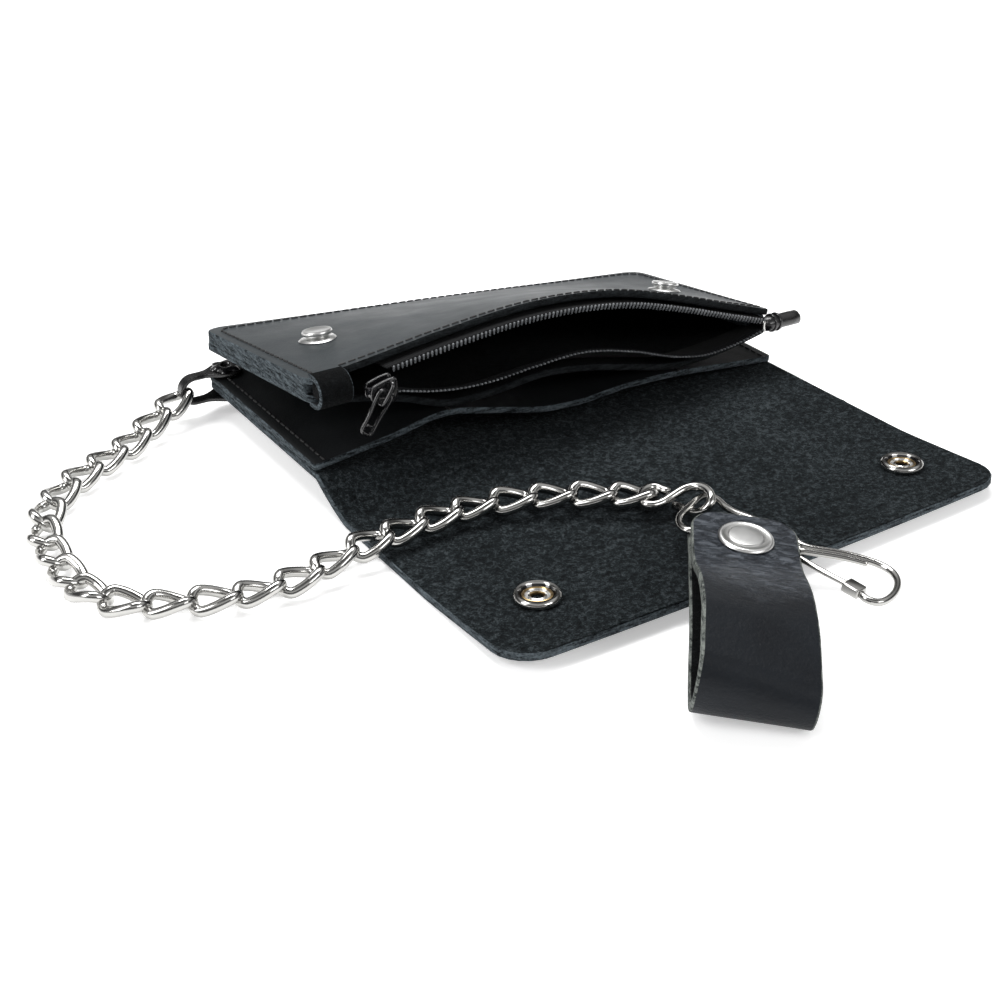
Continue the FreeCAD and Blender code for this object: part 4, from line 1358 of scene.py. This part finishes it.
PALE_EDGE = raw_edge("pale_edge", (0.014, 0.017, 0.017), (0.20, 0.215, 0.20))


def make_strap():
    """One strip from its back layer round the bend to its front layer, whose left edge curls up."""
    front_low = [(d, float(FRONT_HEIGHT(d)) - STRAP_THICK / 2) for d in np.linspace(0, TURN_AT, 74)]
    back_high = [(d, float(BACK_HEIGHT(d)) + STRAP_THICK / 2) for d in np.linspace(TURN_AT, 0, 64)]
    top, bottom = front_low[-1][1], back_high[0][1]
    middle, radius = (top + bottom) / 2, (top - bottom) / 2
    turns = np.linspace(math.pi / 2, -math.pi / 2, 19)[1:-1]
    bend = [(TURN_AT + radius * math.cos(t), middle + radius * math.sin(t)) for t in turns]
    path = front_low + bend + back_high
    rows = []
    curled = len(front_low) + len(bend)
    for number, (d, h) in enumerate(path):
        corner = 8.5 if h > middle else 5.0
        above = np.clip((h - bottom) / (top - bottom), 0, 1) if number < curled else 0.0
        inset = corner - math.sqrt(max(0.0, corner**2 - max(0.0, corner - d) ** 2))
        half = STRAP_HALF - min(inset, corner - 0.6)
        raised = above * np.clip((d - 33) / 27, 0, 1) * CURL
        rows.append([strap_point(d, s * half, h + (1 - s) * half * raised) for s in np.linspace(-1, 1, 41)])
    grid = np.array(rows)
    flip = float(grid_normals(grid)[20, 20].dot(NORMAL)) < 0
    skins = [strap_leather(), SHADED_SUEDE, PALE_EDGE]
    strap = leather("belt_loop_strap", grid, STRAP_THICK, skins, flip=flip, rim=0.55)
    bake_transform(strap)
    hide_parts("belt_loop_back", "belt_loop_turn", "belt_loop_front")
    return strap


def make_strap_snap():
    """The snap's cap on the strap's front layer and its post between the layers."""
    seat = place(*strap_point(SNAP_AT, 0, float(FRONT_HEIGHT(SNAP_AT)) + STRAP_THICK / 2 - 0.1))
    profile = [
        (0, 0), (6.9, 0), (7.45, 0.25), (7.6, 0.7), (7.35, 1.15), (6.9, 1.35), (6.5, 1.3),
        (6.25, 1.15), (5.0, 1.2), (4.75, 1.42), (4.4, 1.48), (2.5, 1.55), (0, 1.6),
    ]
    bands = [0, 0, 0, 0, 0, 0, 0, 1, 0, 0, 0, 0]
    skins = [WORN_NICKEL, metal("cap_band", (0.4, 0.4, 0.39), 0.34)]
    cap = turned("belt_loop_snap_cap", profile, seat, NORMAL, skins, 72, indices=bands)
    finished(cap, "loop_front", "nickel", "belt_loop_cap")
    foot = place(*strap_point(SNAP_AT, 0, 3.0))
    post = [(0, 0), (4.4, 0), (4.5, 0.3), (4.0, 0.5), (2.4, 0.55), (2.3, 2.1), (1.9, 2.35), (0, 2.4)]
    stud = turned("belt_loop_post", post, foot, NORMAL, [WORN_NICKEL], 40)
    finished(stud, "clip", "nickel", "belt_loop_stud")
    return cap, stud


# Wire centre lines: along the strap, across it and above its lower plane.
CLIP_LINE = [
    (9.9, 15.8, 4.15), (6.4, 14.4, 4.15), (6.0, 11, 4.15), (6.2, -12, 4.15), (6.4, -15.6, 3.7),
    (1.8, -17.4, 2.9), (-4.6, -16.6, 2.0), (-14.9, -11.9, 1.0), (-19.6, -9.2, 0.8), (-18.2, -5.8, 1.0),
    (-11.1, -3.0, 1.8), (-4.8, 4.8, 3.2), (0.1, 13.4, 4.2), (5.6, 14.9, 4.15), (7.6, 18, 4.1),
    (7.6, 26.5, 4.1), (9, 33, 4.1), (10.9, 37.6, 4.1), (14, 40.4, 4.1), (18.9, 41, 4.1),
    (24.9, 38.9, 4.1), (29.6, 34.8, 4.1), (28.6, 31, 4.1), (26, 30.0, 4.1),
]
CLIP_TWIN = [(9.6, 14.6, 4.4), (9.9, 19, 4.4), (10.1, 26.3, 4.4), (10.9, 31, 4.4), (11.6, 33.5, 4.3)]
GATE_LINE = [(12.6, 14.2, 4.35), (14.6, 16.4, 4.35), (18, 20.2, 4.35), (22.6, 26.3, 4.35), (23.6, 27.6, 4.35)]


def clip_wire(name, line, radius):
    return sweep(name, cut_line([tuple(strap_point(*spot)) for spot in line]), radius, NICKEL, sides=16)


def make_clip():
    """The bent wire clip beside the strap, and the gate that closes its hook."""
    wires = [clip_wire("clip_main", CLIP_LINE, 1.05), clip_wire("clip_twin", CLIP_TWIN, 0.85)]
    clip = finished(joined("clip_wire", wires), "clip", "nickel", "clip_frame")
    arm = clip_wire("gate_arm", GATE_LINE, 0.85)
    turn = Matrix((Vector(ALONG), Vector(ACROSS), Vector(NORMAL))).transposed()
    lean = Matrix.Rotation(math.radians(48), 3, "Z")
    middle = place(*strap_point(24.4, 28.4, 4.2))
    size = (5.2 * MM, 4.2 * MM, 2.7 * MM)
    sleeve = soft_box("sleeve", middle, size, [NICKEL], 0.5 * MM, turn @ lean)
    gate = finished(joined("clip_gate_wire", [arm, sleeve]), "gate", "nickel", "clip_gate")
    return clip, gate


def make_strap_fold():
    """The strap's end folded back between its layers, held by the snap's post."""
    across = np.linspace(-14.0, 11.2, 21)
    grid = np.array([[strap_point(d, s, 3.25) for s in across] for d in np.linspace(8.7, 24, 12)])
    flip = float(grid_normals(grid)[5, 10].dot(NORMAL)) < 0
    skins = [SHADED_GRAIN, SHADED_SUEDE, PALE_EDGE]
    fold = leather("belt_loop_folded_end", grid, 1.8, skins, flip=flip, rim=0.5)
    return finished(fold, "clip", "strap_leather", "belt_loop_fold")


strap = make_strap()
strap_fold = make_strap_fold()
strap_cap, strap_stud = make_strap_snap()
clip, gate = make_clip()

# ---------------------------------------------------------------- floor, light and world

FLOOR_HALF = 4
FLOOR_DROP = 0.0003
WORLD_STRENGTH = 0.8
SKY_TONES = [
    (0.0, 1.0), (0.10, 0.95), (0.22, 0.12), (0.45, 0.08),
    (0.62, 0.75), (0.78, 0.85), (0.9, 0.2), (1.0, 0.12),
]


def make_floor():
    finish = Finish("pale_floor")
    finish.set(Base_Color=(0.93, 0.93, 0.93, 1), Roughness=0.9, Specular_IOR_Level=0.1)
    finish.set(Emission_Color=(1, 1, 1, 1), Emission_Strength=0.4)
    corners = [(-1, -1), (1, -1), (1, 1), (-1, 1)]
    mesh = bpy.data.meshes.new("floor")
    verts = [(FLOOR_HALF * x, FLOOR_HALF * y, -FLOOR_DROP) for x, y in corners]
    mesh.from_pydata(verts, [], [(0, 1, 2, 3)])
    mesh.materials.append(finish.material)
    floor = scene_object("floor", mesh)


def make_world():
    """A studio of bright and dark bands from the ground up, for the metal to mirror."""
    world = bpy.data.worlds.new("studio")
    world.use_nodes = True
    tree = world.node_tree
    sky = tree.nodes["Background"]
    sky.inputs["Strength"].default_value = WORLD_STRENGTH
    coords = tree.nodes.new("ShaderNodeTexCoord")
    split = tree.nodes.new("ShaderNodeSeparateXYZ")
    ramp = tree.nodes.new("ShaderNodeValToRGB")
    for _ in range(len(SKY_TONES) - 2):
        ramp.color_ramp.elements.new(0.5)
    for element, (at, tone) in zip(ramp.color_ramp.elements, SKY_TONES):
        element.position = at
        element.color = (tone, tone, tone, 1)
    tree.links.new(coords.outputs["Generated"], split.inputs["Vector"])
    tree.links.new(split.outputs["Z"], ramp.inputs["Fac"])
    tree.links.new(ramp.outputs["Color"], sky.inputs["Color"])
    bpy.context.scene.world = world
    bpy.context.scene.view_settings.view_transform = "Standard"


def soft_light(name, where, size, power):
    """A rectangular lamp aimed at the wallet's middle."""
    data = bpy.data.lights.new(name, "AREA")
    data.shape = "RECTANGLE"
    data.size, data.size_y = size
    data.energy = power
    lamp = scene_object(name, data)
    lamp.location = where
    lamp.rotation_euler = (Vector((0, 0, 0.02)) - Vector(where)).to_track_quat("-Z", "Y").to_euler()


make_floor()
make_world()
soft_light("top_box", (0.10, 0.35, 0.95), (0.8, 0.4), 10.0)
soft_light("left_box", (-0.75, 0.10, 0.50), (0.3, 0.6), 4.0)
soft_light("front_fill", (0.25, -0.9, 0.60), (0.6, 0.3), 3.0)
